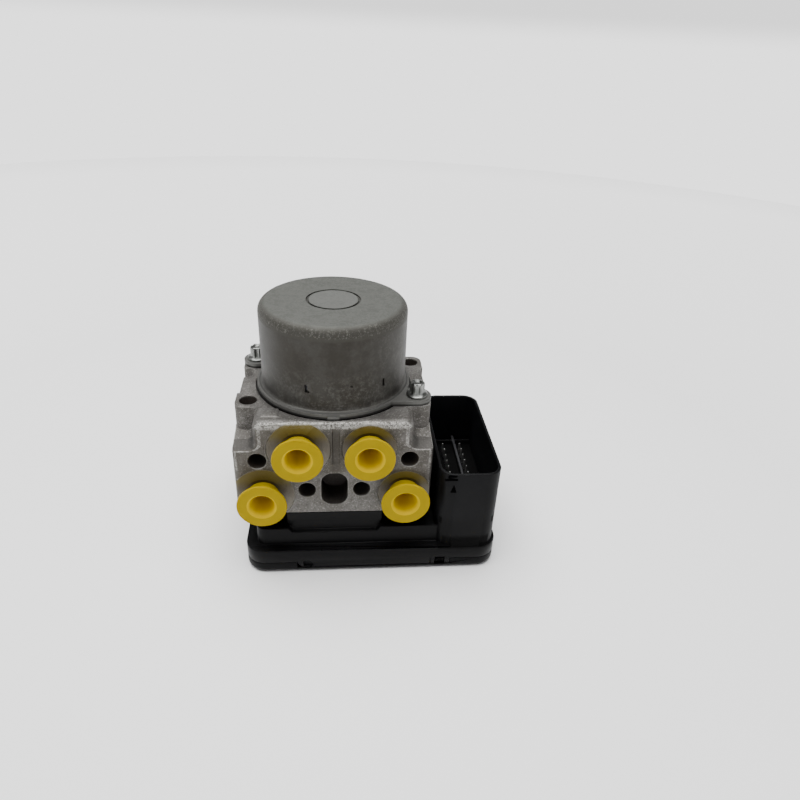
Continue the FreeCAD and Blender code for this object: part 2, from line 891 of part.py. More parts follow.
def lower_bearing():
    inner = S.shaft_radius + S.running_gap
    height = S.bearing_height
    return turned("lower_bearing", [
        (inner, 0),
        (S.bearing_radius, 0),
        (S.bearing_radius, height),
        (S.bearing_radius - 1.5, height),
        (S.bearing_radius - 2, height - 0.5),
        (inner + 2, height - 0.5),
        (inner + 1.5, height),
        (inner, height),
    ], (0, 0, TOP_Z - S.plate_boss_depth))


# Brush plate: closes the can, carries the brushes, the lower bearing and the terminal stalk

def holder_box(side, grow, low, high):
    """The space of one brush holder on the X axis, made larger or smaller by grow."""
    inner = S.commutator_radius + 1
    outer = inner + S.holder_length
    half = S.holder_width / 2 + grow
    if side > 0:
        return block_between(inner, outer, -half, half, low, high)
    return block_between(-outer, -inner, -half, half, low, high)


def brush_plate():
    boss_radius = S.chamber_radius - S.plate_boss_gap
    disc = rod(CAN_INNER - S.plate_wall_gap, S.plate_thick, (0, 0, TOP_Z))
    boss = rod(boss_radius, S.plate_boss_depth, (0, 0, TOP_Z - S.plate_boss_depth))
    stalk = rod(S.stalk_radius, S.stalk_drop, (0, STALK_Y, TOP_Z - S.stalk_drop))
    plate_top = TOP_Z + S.plate_thick
    holder_top = TOP_Z + S.holder_top
    holders = [holder_box(side, 0, plate_top, holder_top) for side in (1, -1)]
    body = joined("plate_solid", [disc, boss, stalk] + holders)
    wall = S.holder_wall
    seat = rod(S.bearing_radius, S.bearing_height, (0, 0, TOP_Z - S.plate_boss_depth))
    bore = rod(
        S.shaft_radius + 1, S.plate_boss_depth + S.plate_thick, (0, 0, TOP_Z - S.plate_boss_depth)
    )
    channels = [
        holder_box(side, -wall, plate_top + wall, holder_top - wall) for side in (1, -1)
    ]
    wires = [
        rod(
            S.terminal_radius,
            S.stalk_drop + S.plate_thick,
            (side * S.terminal_spacing / 2, STALK_Y, TOP_Z - S.stalk_drop),
        )
        for side in (1, -1)
    ]
    return less("brush_plate", body, [seat, bore] + channels + wires)


def brushes():
    low = TOP_Z + S.plate_thick + S.holder_wall + S.brush_gap
    high = TOP_Z + S.holder_top - S.holder_wall - S.brush_gap
    inner = S.commutator_radius + S.brush_gap
    outer = S.commutator_radius + S.holder_length
    half = S.holder_width / 2 - S.holder_wall - S.brush_gap
    pieces = [
        block_between(inner, outer, -half, half, low, high),
        block_between(-outer, -inner, -half, half, low, high),
    ]
    return group("brushes", pieces)


def motor_terminals():
    length = TOP_Z + S.plate_thick - BOARD_TOP_Z
    pieces = [
        rod(S.terminal_radius, length, (side * S.terminal_spacing / 2, STALK_Y, BOARD_TOP_Z))
        for side in (1, -1)
    ]
    return group("motor_terminals", pieces)


def motor_seal():
    inner = ORING_RADIUS - S.oring_width / 2
    outer = ORING_RADIUS + S.oring_width / 2
    return turned("motor_seal", [
        (inner, 0),
        (outer, 0),
        (outer, S.oring_depth),
        (inner, S.oring_depth),
    ], (0, 0, TOP_Z - S.oring_depth))


# Motor bolts: washer face and fluted head

def motor_bolt(side):
    place = (side * BOLT_X, -side * S.bolt_y, TOP_Z)
    washer_low = S.flange_thick
    head_low = S.flange_thick + S.bolt_washer_thick
    body = turned("bolt", [
        (0, -S.bolt_reach),
        (S.bolt_radius - 0.6, -S.bolt_reach),
        (S.bolt_radius, -S.bolt_reach + 0.6),
        (S.bolt_radius, washer_low),
        (S.bolt_washer_radius, washer_low),
        (S.bolt_washer_radius, head_low),
        (S.bolt_head_radius, head_low),
        (S.bolt_head_radius, head_low + S.bolt_head_height - 0.4),
        (S.bolt_head_radius - 0.4, head_low + S.bolt_head_height),
        (0, head_low + S.bolt_head_height),
    ], place)
    flutes = new_sketch(body, "XY_Plane", head_low + S.bolt_head_height)
    for index in range(HEAD_FLUTES):
        angle = 2 * math.pi * index / HEAD_FLUTES
        circle(
            flutes,
            S.bolt_head_radius * math.cos(angle),
            S.bolt_head_radius * math.sin(angle),
            S.bolt_flute_radius,
        )
    cut(body, flutes, S.bolt_head_height)
    return body


def motor_bolts():
    return group("motor_bolts", [motor_bolt(1), motor_bolt(-1)])


# Valve block: a forging with ears, then its machined ports and bores

def upper_outline(body):
    """The narrow neck of the block's top with its ears, lobes and recesses on both sides."""
    depth = S.block_half_depth
    left = [
        (-NECK_X, -depth),
        (-NECK_X, -EAR_FRONT),
        (-S.block_half_width, -EAR_FRONT),
        (-S.block_half_width, -EAR_BACK),
        (-LOBE_X, -EAR_BACK),
        (-LOBE_X, S.recess_front),
        (-RECESS_X, S.recess_front),
        (-RECESS_X, EAR_BACK),
        (-S.block_half_width, EAR_BACK),
        (-S.block_half_width, EAR_FRONT),
        (-NECK_X, EAR_FRONT),
        (-NECK_X, depth),
    ]
    right = [(-x, -y) for x, y in left]
    sketch = new_sketch(body, "XY_Plane", LEDGE_Z)
    outline(sketch, left + right)
    return sketch


def sloped_ledges(body):
    """The four lower corners fall away towards the front and the back."""
    for side in (1, -1):
        for face in (1, -1):
            sketch = new_sketch(body, "YZ_Plane", side * NECK_X)
            outline(sketch, [
                (face * EAR_FRONT, LEDGE_Z),
                (face * S.block_half_depth, LEDGE_Z - S.ledge_fall),
                (face * S.block_half_depth, LEDGE_Z),
            ])
            cut(body, sketch, S.block_half_width - NECK_X, side > 0)


def forged_rounds(body):
    """Rounds of the forging, made before anything is machined."""
    half = S.block_half_width.number
    neck = NECK_X.number
    depth = S.block_half_depth.number
    ear = EAR_FRONT.number
    top = TOP_Z.number
    ledge = LEDGE_Z.number
    recess = RECESS_X.number

    def ear_corner(edge, middle, ends):
        at_ear = near(abs(middle.x), half) and near(abs(middle.y), ear)
        return upright(edge, ends) and at_ear and middle.z > ledge

    def recess_corner(edge, middle, ends):
        back = EAR_BACK.number
        turned_y = middle.y if middle.x < 0 else -middle.y
        at_recess = near(abs(middle.x), recess)
        at_ear = near(abs(middle.x), half) and near(turned_y, back)
        at_lobe = near(abs(middle.x), LOBE_X.number) and turned_y > 0
        return upright(edge, ends) and middle.z > ledge and (at_recess or at_ear or at_lobe)

    def lower_corner(edge, middle, ends):
        return upright(edge, ends) and near(abs(middle.x), half) and middle.z < ledge

    def neck_edge(edge, middle, ends):
        at_top = near(middle.z, top)
        at_front = near(abs(middle.y), depth)
        at_side = near(abs(middle.x), neck) and abs(middle.y) > ear
        return at_top and (at_front or at_side)

    def neck_upright(edge, middle, ends):
        at_corner = near(abs(middle.x), neck) and near(abs(middle.y), depth)
        return upright(edge, ends) and at_corner

    def ledge_foot(edge, middle, ends):
        at_neck = near(abs(middle.x), neck) and abs(middle.y) > ear
        lowest = ledge - S.ledge_fall.number
        return at_neck and lowest - 1 < middle.z < ledge + 1 and not upright(edge, ends)

    round_edges(body, S.ear_corner_round, ear_corner)
    round_edges(body, S.recess_corner_round, recess_corner)
    round_edges(body, S.lower_corner_round, lower_corner)
    round_edges(body, S.neck_corner_round, neck_upright)
    round_edges(body, S.neck_edge_round, neck_edge)
    round_edges(body, S.ledge_round, ledge_foot)


def front_machining(body):
    depth = S.block_half_depth
    seats = (
        (S.upper_port_x, S.upper_port_drop),
        (LOWER_PORT_X, S.lower_port_drop),
    )
    groove = new_sketch(body, "XZ_Plane", depth)
    rectangle(
        groove,
        S.groove_x - S.groove_half_width,
        S.groove_x + S.groove_half_width,
        TOP_Z - S.groove_drop,
        TOP_Z + 1,
    )
    cut(body, groove, S.groove_depth)
    for radius, side in ((S.seat_left_radius, -1), (S.seat_right_radius, 1)):
        for x, drop in seats:
            seat = new_sketch(body, "XZ_Plane", depth)
            circle(seat, side * x, TOP_Z - drop, radius)
            cut(body, seat, S.seat_depth)
    ports = new_sketch(body, "XZ_Plane", depth)
    for side in (-1, 1):
        for x, drop in seats:
            circle(ports, side * x, TOP_Z - drop, S.port_radius)
    cut(body, ports, S.port_depth)
    fixings = new_sketch(body, "XZ_Plane", depth)
    for side in (-1, 1):
        circle(fixings, side * FIXING_X, TOP_Z - S.fixing_drop, S.fixing_radius)
    cut(body, fixings, S.fixing_depth)
    small = new_sketch(body, "XZ_Plane", depth)
    for side in (-1, 1):
        circle(small, side * S.small_hole_x, TOP_Z - S.small_hole_drop, S.small_hole_radius)
    cut(body, small, S.small_hole_depth)
    pocket = new_sketch(body, "XZ_Plane", depth)
    rounded_rectangle(
        pocket,
        -S.pocket_half_width,
        S.pocket_half_width,
        TOP_Z - S.pocket_bottom_drop,
        TOP_Z - S.pocket_top_drop,
        S.pocket_corner,
    )
    cut(body, pocket, S.pocket_depth)


def back_machining(body):
    """The two inlet ports and the two reservoir bores."""
    depth = S.block_half_depth
    seats = new_sketch(body, "XZ_Plane", -depth)
    for side in (-1, 1):
        circle(seats, side * S.upper_port_x, TOP_Z - S.upper_port_drop, S.seat_right_radius)
    cut(body, seats, S.seat_depth, True)
    ports = new_sketch(body, "XZ_Plane", -depth)
    for side in (-1, 1):
        circle(ports, side * S.upper_port_x, TOP_Z - S.upper_port_drop, S.port_radius)
    cut(body, ports, S.port_depth, True)
    reservoirs = new_sketch(body, "XZ_Plane", -depth)
    for side in (-1, 1):
        circle(reservoirs, side * S.reservoir_x, TOP_Z - S.reservoir_drop, S.reservoir_radius)
    cut(body, reservoirs, S.reservoir_bore_depth, True)
    caps = new_sketch(body, "XZ_Plane", -depth)
    for side in (-1, 1):
        circle(caps, side * S.reservoir_x, TOP_Z - S.reservoir_drop, S.cap_radius)
    cut(body, caps, S.cap_thick + S.cap_inset, True)


def top_machining(body):
    chamber = new_sketch(body, "XY_Plane", TOP_Z)
    circle(chamber, 0, 0, S.chamber_radius)
    cut(body, chamber, S.chamber_depth)
    ring = new_sketch(body, "XY_Plane", TOP_Z)
    circle(ring, 0, 0, ORING_RADIUS - S.oring_width / 2)
    circle(ring, 0, 0, ORING_RADIUS + S.oring_width / 2)
    cut(body, ring, S.oring_depth)
    bolts = new_sketch(body, "XY_Plane", TOP_Z)
    ears = new_sketch(body, "XY_Plane", TOP_Z)
    for side in (1, -1):
        bolt_hole = S.bolt_radius + S.bolt_hole_clearance
        circle(bolts, side * BOLT_X, -side * S.bolt_y, bolt_hole)
        circle(ears, side * EAR_HOLE_X, side * S.ear_hole_y, S.ear_hole_radius)
    cut(body, bolts, S.bolt_reach + 1)
    cut(body, ears, S.ear_hole_depth)
    stalk = new_sketch(body, "XY_Plane", TOP_Z)
    circle(stalk, 0, STALK_Y, S.stalk_radius + S.stalk_gap)
    cut(body, stalk, S.block_height)


def side_machining(body):
    """The two pump bores, stepped from the screwed plug down to the piston's guide."""
    for side in (1, -1):
        guide = new_sketch(body, "YZ_Plane", side * S.block_half_width)
        circle(guide, 0, PUMP_Z, S.piston_radius + S.running_gap)
        cut(body, guide, S.block_half_width - S.chamber_radius / 2, side < 0)
        bore = new_sketch(body, "YZ_Plane", side * S.block_half_width)
        circle(bore, 0, PUMP_Z, S.pump_bore_radius)
        guide_end = S.chamber_radius + S.guide_length
        cut(body, bore, S.block_half_width - guide_end, side < 0)


def valve_places():
    """The place of each valve, named for what it does."""
    places = []
    for kind, y in (("inlet", -S.valve_front_y), ("outlet", S.valve_back_y)):
        xs = (-S.valve_outer_x, -S.valve_inner_x, S.valve_inner_x, S.valve_outer_x)
        for number, x in enumerate(xs, start=1):
            places.append((f"{kind}_valve_{number}", x, y))
    return places


def bottom_machining(body):
    valves = new_sketch(body, "XY_Plane", BLOCK_Z)
    for name, x, y in valve_places():
        circle(valves, x, y, S.valve_bore_radius)
    cut(body, valves, S.valve_bore_depth, True)
    screws = new_sketch(body, "XY_Plane", BLOCK_Z)
    for x, y in screw_places():
        circle(screws, x, y, S.screw_radius + S.screw_gap)
    cut(body, screws, S.screw_reach + 1, True)


def drilled_channels(body):
    """Drillings from the ports and the reservoirs to the valve bores."""
    depth = S.block_half_depth
    upper_z = TOP_Z - S.upper_port_drop
    lower_z = TOP_Z - S.lower_port_drop
    inner = CHANNEL_INNER_X
    outer = CHANNEL_OUTER_X
    valve_top = BLOCK_Z + S.valve_bore_depth
    front_upper = new_sketch(body, "XZ_Plane", depth)
    front_lower = new_sketch(body, "XZ_Plane", depth)
    back_upper = new_sketch(body, "XZ_Plane", -depth)
    back_lower = new_sketch(body, "XZ_Plane", -depth)
    risers = new_sketch(body, "XY_Plane", valve_top)
    for side in (1, -1):
        circle(front_upper, side * inner, upper_z, S.channel_radius)
        circle(front_lower, side * outer, lower_z, S.channel_radius)
        circle(back_upper, side * inner, upper_z, S.channel_radius)
        circle(back_lower, side * inner, lower_z, S.channel_radius)
        circle(back_lower, side * S.valve_outer_x, lower_z, S.channel_radius)
        circle(risers, side * inner, -S.valve_front_y, S.channel_radius)
        circle(risers, side * inner, S.valve_back_y, S.channel_radius)
    cut(body, front_upper, depth - S.valve_front_y)
    cut(body, front_lower, depth - S.valve_front_y)
    cut(body, back_upper, depth - S.valve_back_y, True)
    cut(body, back_lower, depth - S.valve_back_y, True)
    cut(body, risers, upper_z - valve_top, True)


def gap_ring(body):
    """The narrow step round the motor's flange, which shows as a dark line."""
    ring = new_sketch(body, "XY_Plane", TOP_Z)
    circle(ring, 0, 0, FLANGE_RADIUS - S.gap_ring_width)
    circle(ring, 0, 0, FLANGE_RADIUS + S.gap_ring_width)
    cut(body, ring, S.gap_ring_depth)


def cast_mark_pad(body):
    """The low raised pad on the top face, left bare."""
    pad = new_sketch(body, "XY_Plane", TOP_Z)
    side = NECK_X - S.neck_edge_round
    back = -EAR_FRONT - S.mark_pad_inset
    rectangle(pad, -side, -side + S.mark_pad_width, back - S.mark_pad_length, back)
    extrude(body, "Pad", pad, S.mark_pad_height)


def valve_block():
    body = new_body("valve_block")
    lower = new_sketch(body, "XY_Plane", BLOCK_Z)
    half = S.block_half_width
    depth = S.block_half_depth
    rectangle(lower, -half, half, -depth, depth)
    extrude(body, "Pad", lower, S.block_height - S.block_upper_height)
    extrude(body, "Pad", upper_outline(body), S.block_upper_height)
    sloped_ledges(body)
    forged_rounds(body)
    top_machining(body)
    side_machining(body)
    bottom_machining(body)
    back_machining(body)
    front_machining(body)
    drilled_channels(body)
    gap_ring(body)
    cast_mark_pad(body)
    return body


# Pump: pistons, return springs and screwed plugs

def pump_rest_x():
    """Where a piston's tip rests: just clear of the eccentric bearing's widest sweep."""
    return S.eccentric_bearing_radius + S.eccentric_throw + S.piston_gap


def pump_head_x():
    """Inner face of the piston's head, just off the shoulder of its bore."""
    return S.chamber_radius + S.guide_length + S.piston_gap


def pump_piston(side, name):
    rest = pump_rest_x()
    head = pump_head_x() - rest
    body = turned(f"pump_piston_{name}", [
        (0, 0),
        (S.piston_radius - 0.4, 0),
        (S.piston_radius, 0.4),
        (S.piston_radius, head),
        (S.piston_head_radius, head),
        (S.piston_head_radius, head + S.piston_head_thick),
        (S.piston_radius - 0.8, head + S.piston_head_thick),
        (S.piston_radius - 0.8, head + S.piston_head_thick + S.piston_tail),
        (0, head + S.piston_head_thick + S.piston_tail),
    ], (side * rest, 0, PUMP_Z), ALONG_X if side > 0 else AGAINST_X)
    return body


def pump_plug(side, name):
    start = S.block_half_width - S.pump_plug_inset - S.pump_plug_length
    length = S.pump_plug_length
    radius = S.pump_bore_radius - S.plug_gap
    body = turned(f"pump_plug_{name}", [
        (0, 0),
        (radius - 0.8, 0),
        (radius, 0.8),
        (radius, length - 0.5),
        (radius - 0.5, length),
        (0, length),
    ], (side * start, 0, PUMP_Z), ALONG_X if side > 0 else AGAINST_X)
    socket = new_sketch(body, "XY_Plane", length)
    points = []
    for index in range(6):
        angle = math.pi * index / 3
        points.append((S.pump_plug_socket * math.cos(angle), S.pump_plug_socket * math.sin(angle)))
    outline(socket, points)
    cut(body, socket, S.pump_plug_socket_depth)
    return body


def coil_spring(label, wire, radius, turns, free_length, at, rotation):
    """A helix of square wire that stands between two faces; wire is half the wire's side."""
    rise = free_length.number - 2 * wire.number
    helix = Part.makeHelix(rise / turns.number, rise, radius.number)
    half = wire.number
    corners = [(-half, -half), (half, -half), (half, half), (-half, half), (-half, -half)]
    section = Part.makePolygon([Vector(radius.number + x, 0, z) for x, z in corners])
    coil = Part.Wire(helix.Edges).makePipeShell([section], True, True)
    spring = DOC.addObject("Part::Feature", label)
    spring.Label = label
    spring.Shape = coil
    numbers = [as_size(value).number for value in at]
    first_turn = Placement(Vector(0, 0, half), Rotation())
    spring.Placement = Placement(Vector(*numbers), rotation) * first_turn
    return spring


def pump_spring(side, name):
    start = pump_head_x() + S.piston_head_thick + S.spring_end_gap
    end = S.block_half_width - S.pump_plug_inset - S.pump_plug_length - S.spring_end_gap
    return coil_spring(
        f"pump_spring_{name}",
        S.pump_spring_wire,
        S.pump_spring_radius,
        S.pump_spring_turns,
        end - start,
        (side * start, 0, PUMP_Z),
        ALONG_X if side > 0 else AGAINST_X,
    )


# Low-pressure reservoirs: cup pistons, springs and caps

RESERVOIR_Z = TOP_Z - S.reservoir_drop
RESERVOIR_FLOOR_Y = S.block_half_depth - S.reservoir_bore_depth
PISTON_BASE_Y = RESERVOIR_FLOOR_Y + S.reservoir_start_gap
CAP_INNER_Y = S.block_half_depth - S.cap_inset - S.cap_thick


def reservoir_piston(side, name):
    radius = S.reservoir_radius - S.reservoir_gap
    inner = radius - S.reservoir_piston_wall
    length = S.reservoir_piston_length
    return turned(f"reservoir_piston_{name}", [
        (0, 0),
        (radius - 0.6, 0),
        (radius, 0.6),
        (radius, length),
        (inner, length),
        (inner, S.reservoir_floor),
        (0, S.reservoir_floor),
    ], (side * S.reservoir_x, PISTON_BASE_Y, RESERVOIR_Z), TO_BACK)


def reservoir_cap(side, name):
    dish = S.cap_thick / 2
    return turned(f"reservoir_cap_{name}", [
        (0, 0),
        (S.cap_radius - S.plug_gap, 0),
        (S.cap_radius - S.plug_gap, S.cap_thick),
        (S.cap_radius - 2.5, S.cap_thick),
        (S.cap_radius - 3.5, dish),
        (0, dish),
    ], (side * S.reservoir_x, CAP_INNER_Y, RESERVOIR_Z), TO_BACK)


def reservoir_spring(side, name):
    start = PISTON_BASE_Y + S.reservoir_floor + S.spring_end_gap
    return coil_spring(
        f"reservoir_spring_{name}",
        S.reservoir_spring_wire,
        S.reservoir_spring_radius,
        S.reservoir_spring_turns,
        CAP_INNER_Y - S.spring_end_gap - start,
        (side * S.reservoir_x, start, RESERVOIR_Z),
        TO_BACK,
    )


# Solenoid valves

DOME_Z = BLOCK_Z - S.valve_dome_length
CORE_Z = (
    DOME_Z + S.valve_dome_floor + S.armature_start_gap + S.armature_length + S.valve_core_gap
)


def valve_cartridge(name, x, y):
    """Collar pressed in the block, hollow dome below it and a stem with the valve's passage."""
    collar_top = BLOCK_Z + S.valve_collar_height
    stem_top = BLOCK_Z + S.valve_bore_depth - S.valve_seat_gap
    inner = S.valve_dome_radius - S.valve_dome_wall
    passage = S.needle_radius + S.needle_gap
    return turned(name, [
        (0, DOME_Z),
        (S.valve_dome_radius, DOME_Z),
        (S.valve_dome_radius, BLOCK_Z),
        (S.valve_bore_radius - S.valve_press_gap, BLOCK_Z),
        (S.valve_bore_radius - S.valve_press_gap, collar_top),
        (S.valve_stem_radius, collar_top),
        (S.valve_stem_radius, stem_top),
        (passage, stem_top),
        (passage, CORE_Z),
        (inner, CORE_Z),
        (inner, DOME_Z + S.valve_dome_floor),
        (0, DOME_Z + S.valve_dome_floor),
    ], (x, y, 0))


def armature(name, x, y):
    """The plunger inside the dome with the needle that opens or shuts the valve."""
    low = DOME_Z + S.valve_dome_floor + S.armature_start_gap
    high = low + S.armature_length
    radius = S.valve_dome_radius - S.valve_dome_wall - S.armature_gap
    return turned(name.replace("valve", "armature"), [
        (0, low),
        (radius, low),
        (radius, high),
        (S.needle_radius, high),
        (S.needle_radius, high + S.needle_length),
        (0, high + S.needle_length),
    ], (x, y, 0))


def solenoid_coil(x, y):
    """Bobbin with its winding; two leads stand on the circuit board."""
    high = BLOCK_Z - S.coil_top_gap
    low = high - S.coil_height
    inner = S.valve_dome_radius + S.coil_gap
    waist = S.coil_radius - S.coil_waist
    body = turned("coil", [
        (inner, low),
        (S.coil_radius, low),
        (S.coil_radius, low + S.coil_flange),
        (waist, low + S.coil_flange),
        (waist, high - S.coil_flange),
        (S.coil_radius, high - S.coil_flange),
        (S.coil_radius, high),
        (inner, high),
    ], (x, y, 0))
    leads = new_sketch(body, "XY_Plane", low)
    for side in (1, -1):
        circle(leads, side * S.coil_lead_offset / 2, -S.coil_lead_offset, S.coil_lead_radius)
    extrude(body, "Pad", leads, low - BOARD_TOP_Z, True)
    return body


def solenoid_coils():
    return group("solenoid_coils", [solenoid_coil(x, y) for name, x, y in valve_places()])


# Yellow transport plugs in the pipe ports

def port_plug(name, x, drop, face):
    """A thin moulded cup: flange, neck on the port's seat and a stem in the port."""
    neck_low = -S.seat_depth
    stem_low = -S.seat_depth - S.plug_stem
    flange_low = S.plug_stand - S.plug_flange_thick
    stem_radius = STEM_RADIUS
    body = turned(name, [
        (0, stem_low),
        (stem_radius - 0.8, stem_low),
        (stem_radius, stem_low + 0.8),
        (stem_radius, neck_low),
        (S.plug_neck_radius, neck_low),
        (S.plug_neck_radius, flange_low),
        (S.plug_flange_radius, flange_low),
        (S.plug_flange_radius, S.plug_stand),
        (S.plug_mouth_radius, S.plug_stand),
        (S.plug_mouth_radius - 0.3, S.plug_stand - 1.2),
        (STEM_RADIUS - S.plug_wall + 0.8, S.plug_stand - 1.2),
        (STEM_RADIUS - S.plug_wall, neck_low),
        (STEM_RADIUS - S.plug_wall - 0.5, stem_low + S.plug_wall * 1.5),
        (0, stem_low + S.plug_wall * 1.5),
    ], (x, face * S.block_half_depth, TOP_Z - drop), TO_BACK if face > 0 else TO_FRONT)
    flange = S.plug_flange_radius.number

    def flange_rim(edge, middle, ends):
        return isinstance(edge.Curve, Part.Circle) and near(edge.Curve.Radius, flange)

    round_edges(body, S.plug_edge_round, flange_rim)
    return body


def port_plugs():
    plugs = []
    for side, hand in ((-1, "left"), (1, "right")):
        upper = S.upper_port_drop
        plugs.append(port_plug(f"port_plug_upper_{hand}", side * S.upper_port_x, upper, -1))
        lower = S.lower_port_drop
        plugs.append(port_plug(f"port_plug_lower_{hand}", side * LOWER_PORT_X, lower, -1))
        plugs.append(port_plug(f"inlet_plug_{hand}", side * S.upper_port_x, upper, 1))
    return plugs


# Controller housing with its connector shroud

def screw_places():
    return [
        (S.screw_front_x, -SCREW_Y),
        (-S.screw_front_x, -SCREW_Y),
        (SCREW_BACK_X, SCREW_Y),
        (-SCREW_BACK_X, SCREW_Y),
    ]


def box_on(body, x_low, x_high, y_low, y_high, z_low, height, corner=None):
    """Material between the given sides, with round corners where a radius is given."""
    sketch = new_sketch(body, "XY_Plane", z_low)
    if corner is None:
        rectangle(sketch, x_low, x_high, y_low, y_high)
    else:
        rounded_rectangle(sketch, x_low, x_high, y_low, y_high, corner)
    return extrude(body, "Pad", sketch, height)


def box_out(body, x_low, x_high, y_low, y_high, z_low, height, corner):
    """A space between the given sides, cut upwards from its lowest level."""
    sketch = new_sketch(body, "XY_Plane", z_low)
    rounded_rectangle(sketch, x_low, x_high, y_low, y_high, corner)
    return cut(body, sketch, height, True)


def housing_outside(body):
    rim_x = (-RIM_LEFT, RIM_RIGHT)
    rim_y = (-RIM_FRONT, RIM_BACK)
    box_on(body, *rim_x, *rim_y, PARTING_Z, S.rim_height, S.rim_corner)
    band_x = (-BAND_LEFT, BAND_RIGHT)
    band_y = (-BAND_FRONT, BAND_BACK)
    box_on(body, *band_x, *band_y, RIM_TOP_Z, S.band_height, S.band_corner)
    shroud_x = (SHROUD_LEFT, SHROUD_RIGHT)
    shroud_y = (-SHROUD_FRONT, S.shroud_back)
    shroud_height = S.shroud_top - RIM_TOP_Z
    box_on(body, *shroud_x, *shroud_y, RIM_TOP_Z, shroud_height, S.shroud_corner)
    foot = new_sketch(body, "YZ_Plane", SHROUD_LEFT + S.shroud_corner)
    outline(foot, [
        (-SHROUD_FRONT, RIM_TOP_Z),
        (-SHROUD_FRONT - S.shroud_foot, RIM_TOP_Z),
        (-SHROUD_FRONT, RIM_TOP_Z + S.shroud_foot_height),
    ])
    extrude(body, "Pad", foot, SHROUD_RIGHT - SHROUD_LEFT - 2 * S.shroud_corner)
    collar_x = (-COLLAR_X, COLLAR_X)
    collar_y = (-COLLAR_Y, COLLAR_Y)
    box_on(body, *collar_x, *collar_y, DECK_Z, S.collar_height, S.collar_corner)
    boss = new_sketch(body, "XZ_Plane", S.block_half_depth)
    low = BLOCK_Z - S.boss_drop
    half = S.boss_half_width
    inner = S.boss_half_width - S.boss_corner_width
    outline(boss, [
        (-half, BLOCK_Z),
        (-half, low + S.boss_corner_height),
        (-inner, low),
        (inner, low),
        (half, low + S.boss_corner_height),
        (half, BLOCK_Z),
    ])
    extrude(body, "Pad", boss, S.block_half_depth - COLLAR_Y + 1, True)


def housing_inside(body):
    wall = S.shell_wall
    recess_x = (-RIM_LEFT + wall, RIM_RIGHT - wall)
    recess_y = (-RIM_FRONT + wall, RIM_BACK - wall)
    box_out(body, *recess_x, *recess_y, PARTING_Z, S.board_ledge, S.rim_corner - wall)
    box_out(
        body,
        -BAND_LEFT + wall,
        BAND_RIGHT - wall,
        -BAND_FRONT + wall,
        BAND_BACK - wall,
        BOARD_TOP_Z,
        CAVITY_Z - BOARD_TOP_Z,
        S.band_corner - wall,
    )
    under_floor = S.connector_floor - S.connector_floor_thick
    box_out(
        body,
        SHROUD_LEFT + wall,
        SHROUD_RIGHT - wall,
        -SHROUD_FRONT + wall,
        S.shroud_back - wall,
        BOARD_TOP_Z,
        under_floor - BOARD_TOP_Z,
        S.shroud_corner - wall,
    )
    box_out(
        body,
        -COLLAR_OPENING_X,
        COLLAR_OPENING_X,
        -COLLAR_OPENING_FRONT,
        COLLAR_OPENING_BACK,
        CAVITY_Z,
        BLOCK_Z - CAVITY_Z,
        S.collar_corner - (COLLAR_X - COLLAR_OPENING_X),
    )


def housing_connector(body):
    wall = S.shroud_wall
    inside_x = (SHROUD_LEFT + wall, SHROUD_RIGHT - wall)
    inside_y = (-SHROUD_FRONT + wall, S.shroud_back - wall)
    socket_height = S.shroud_top - S.connector_floor
    corner = S.shroud_corner - wall
    box_out(body, *inside_x, *inside_y, S.connector_floor, socket_height, corner)
    half = S.rib_width / 2
    box_on(
        body,
        RIB_X - half,
        RIB_X + half,
        *inside_y,
        S.connector_floor,
        S.rib_height,
    )
    box_on(
        body,
        *inside_x,
        S.cross_rib_y - half,
        S.cross_rib_y + half,
        S.connector_floor,
        S.rib_height,
    )
    holes = new_sketch(body, "XY_Plane", S.connector_floor)
    for x, y in pin_places():
        circle(holes, x, y, S.pin_radius + S.pin_gap)
    cut(body, holes, S.connector_floor_thick)


def housing_details(body):
    notch = new_sketch(body, "XZ_Plane", BAND_FRONT)
    inner = S.notch_half_width
    outer = S.notch_half_width + S.notch_slope
    low = DECK_Z - S.notch_depth
    outline(notch, [(-outer, DECK_Z), (-inner, low), (inner, low), (outer, DECK_Z)])
    cut(body, notch, BAND_FRONT - S.block_half_depth)
    screws = new_sketch(body, "XY_Plane", BLOCK_Z)
    for x, y in screw_places():
        circle(screws, x, y, S.screw_radius + S.screw_gap)
    cut(body, screws, BLOCK_Z - CAVITY_Z)
    seal = new_sketch(body, "XY_Plane", BLOCK_Z)
    seal_outlines(seal)
    cut(body, seal, S.seal_depth)
    latches(body)


def seal_outlines(sketch):
    """The inner and the outer edge of the groove in the collar's top."""
    for inset in (S.seal_inset, S.seal_inset + S.seal_width):
        rounded_rectangle(
            sketch,
            -COLLAR_X + inset,
            COLLAR_X - inset,
            -COLLAR_Y + inset,
            COLLAR_Y - inset,
            S.collar_corner - inset,
        )


def tongue_outline(sketch):
    front = -RIM_FRONT
    rectangle(sketch, -S.tongue_left, TONGUE_RIGHT, front, front + S.tongue_thick)


def latches(body):
    """The left latch window points to the right, the right one is a plain rectangle."""
    windows = new_sketch(body, "XZ_Plane", RIM_FRONT)
    half = S.latch_half_width
    middle = (S.latch_low + S.latch_high) / 2
    outline(windows, [
        (-S.latch_left_x - half, S.latch_low),
        (-S.latch_left_x + half / 3, S.latch_low),
        (-S.latch_left_x + half, middle),
        (-S.latch_left_x + half / 3, S.latch_high),
        (-S.latch_left_x - half, S.latch_high),
    ])
    rectangle(
        windows,
        LATCH_RIGHT_X - half,
        LATCH_RIGHT_X + half,
        S.latch_low,
        S.latch_high,
    )
    cut(body, windows, S.latch_depth)


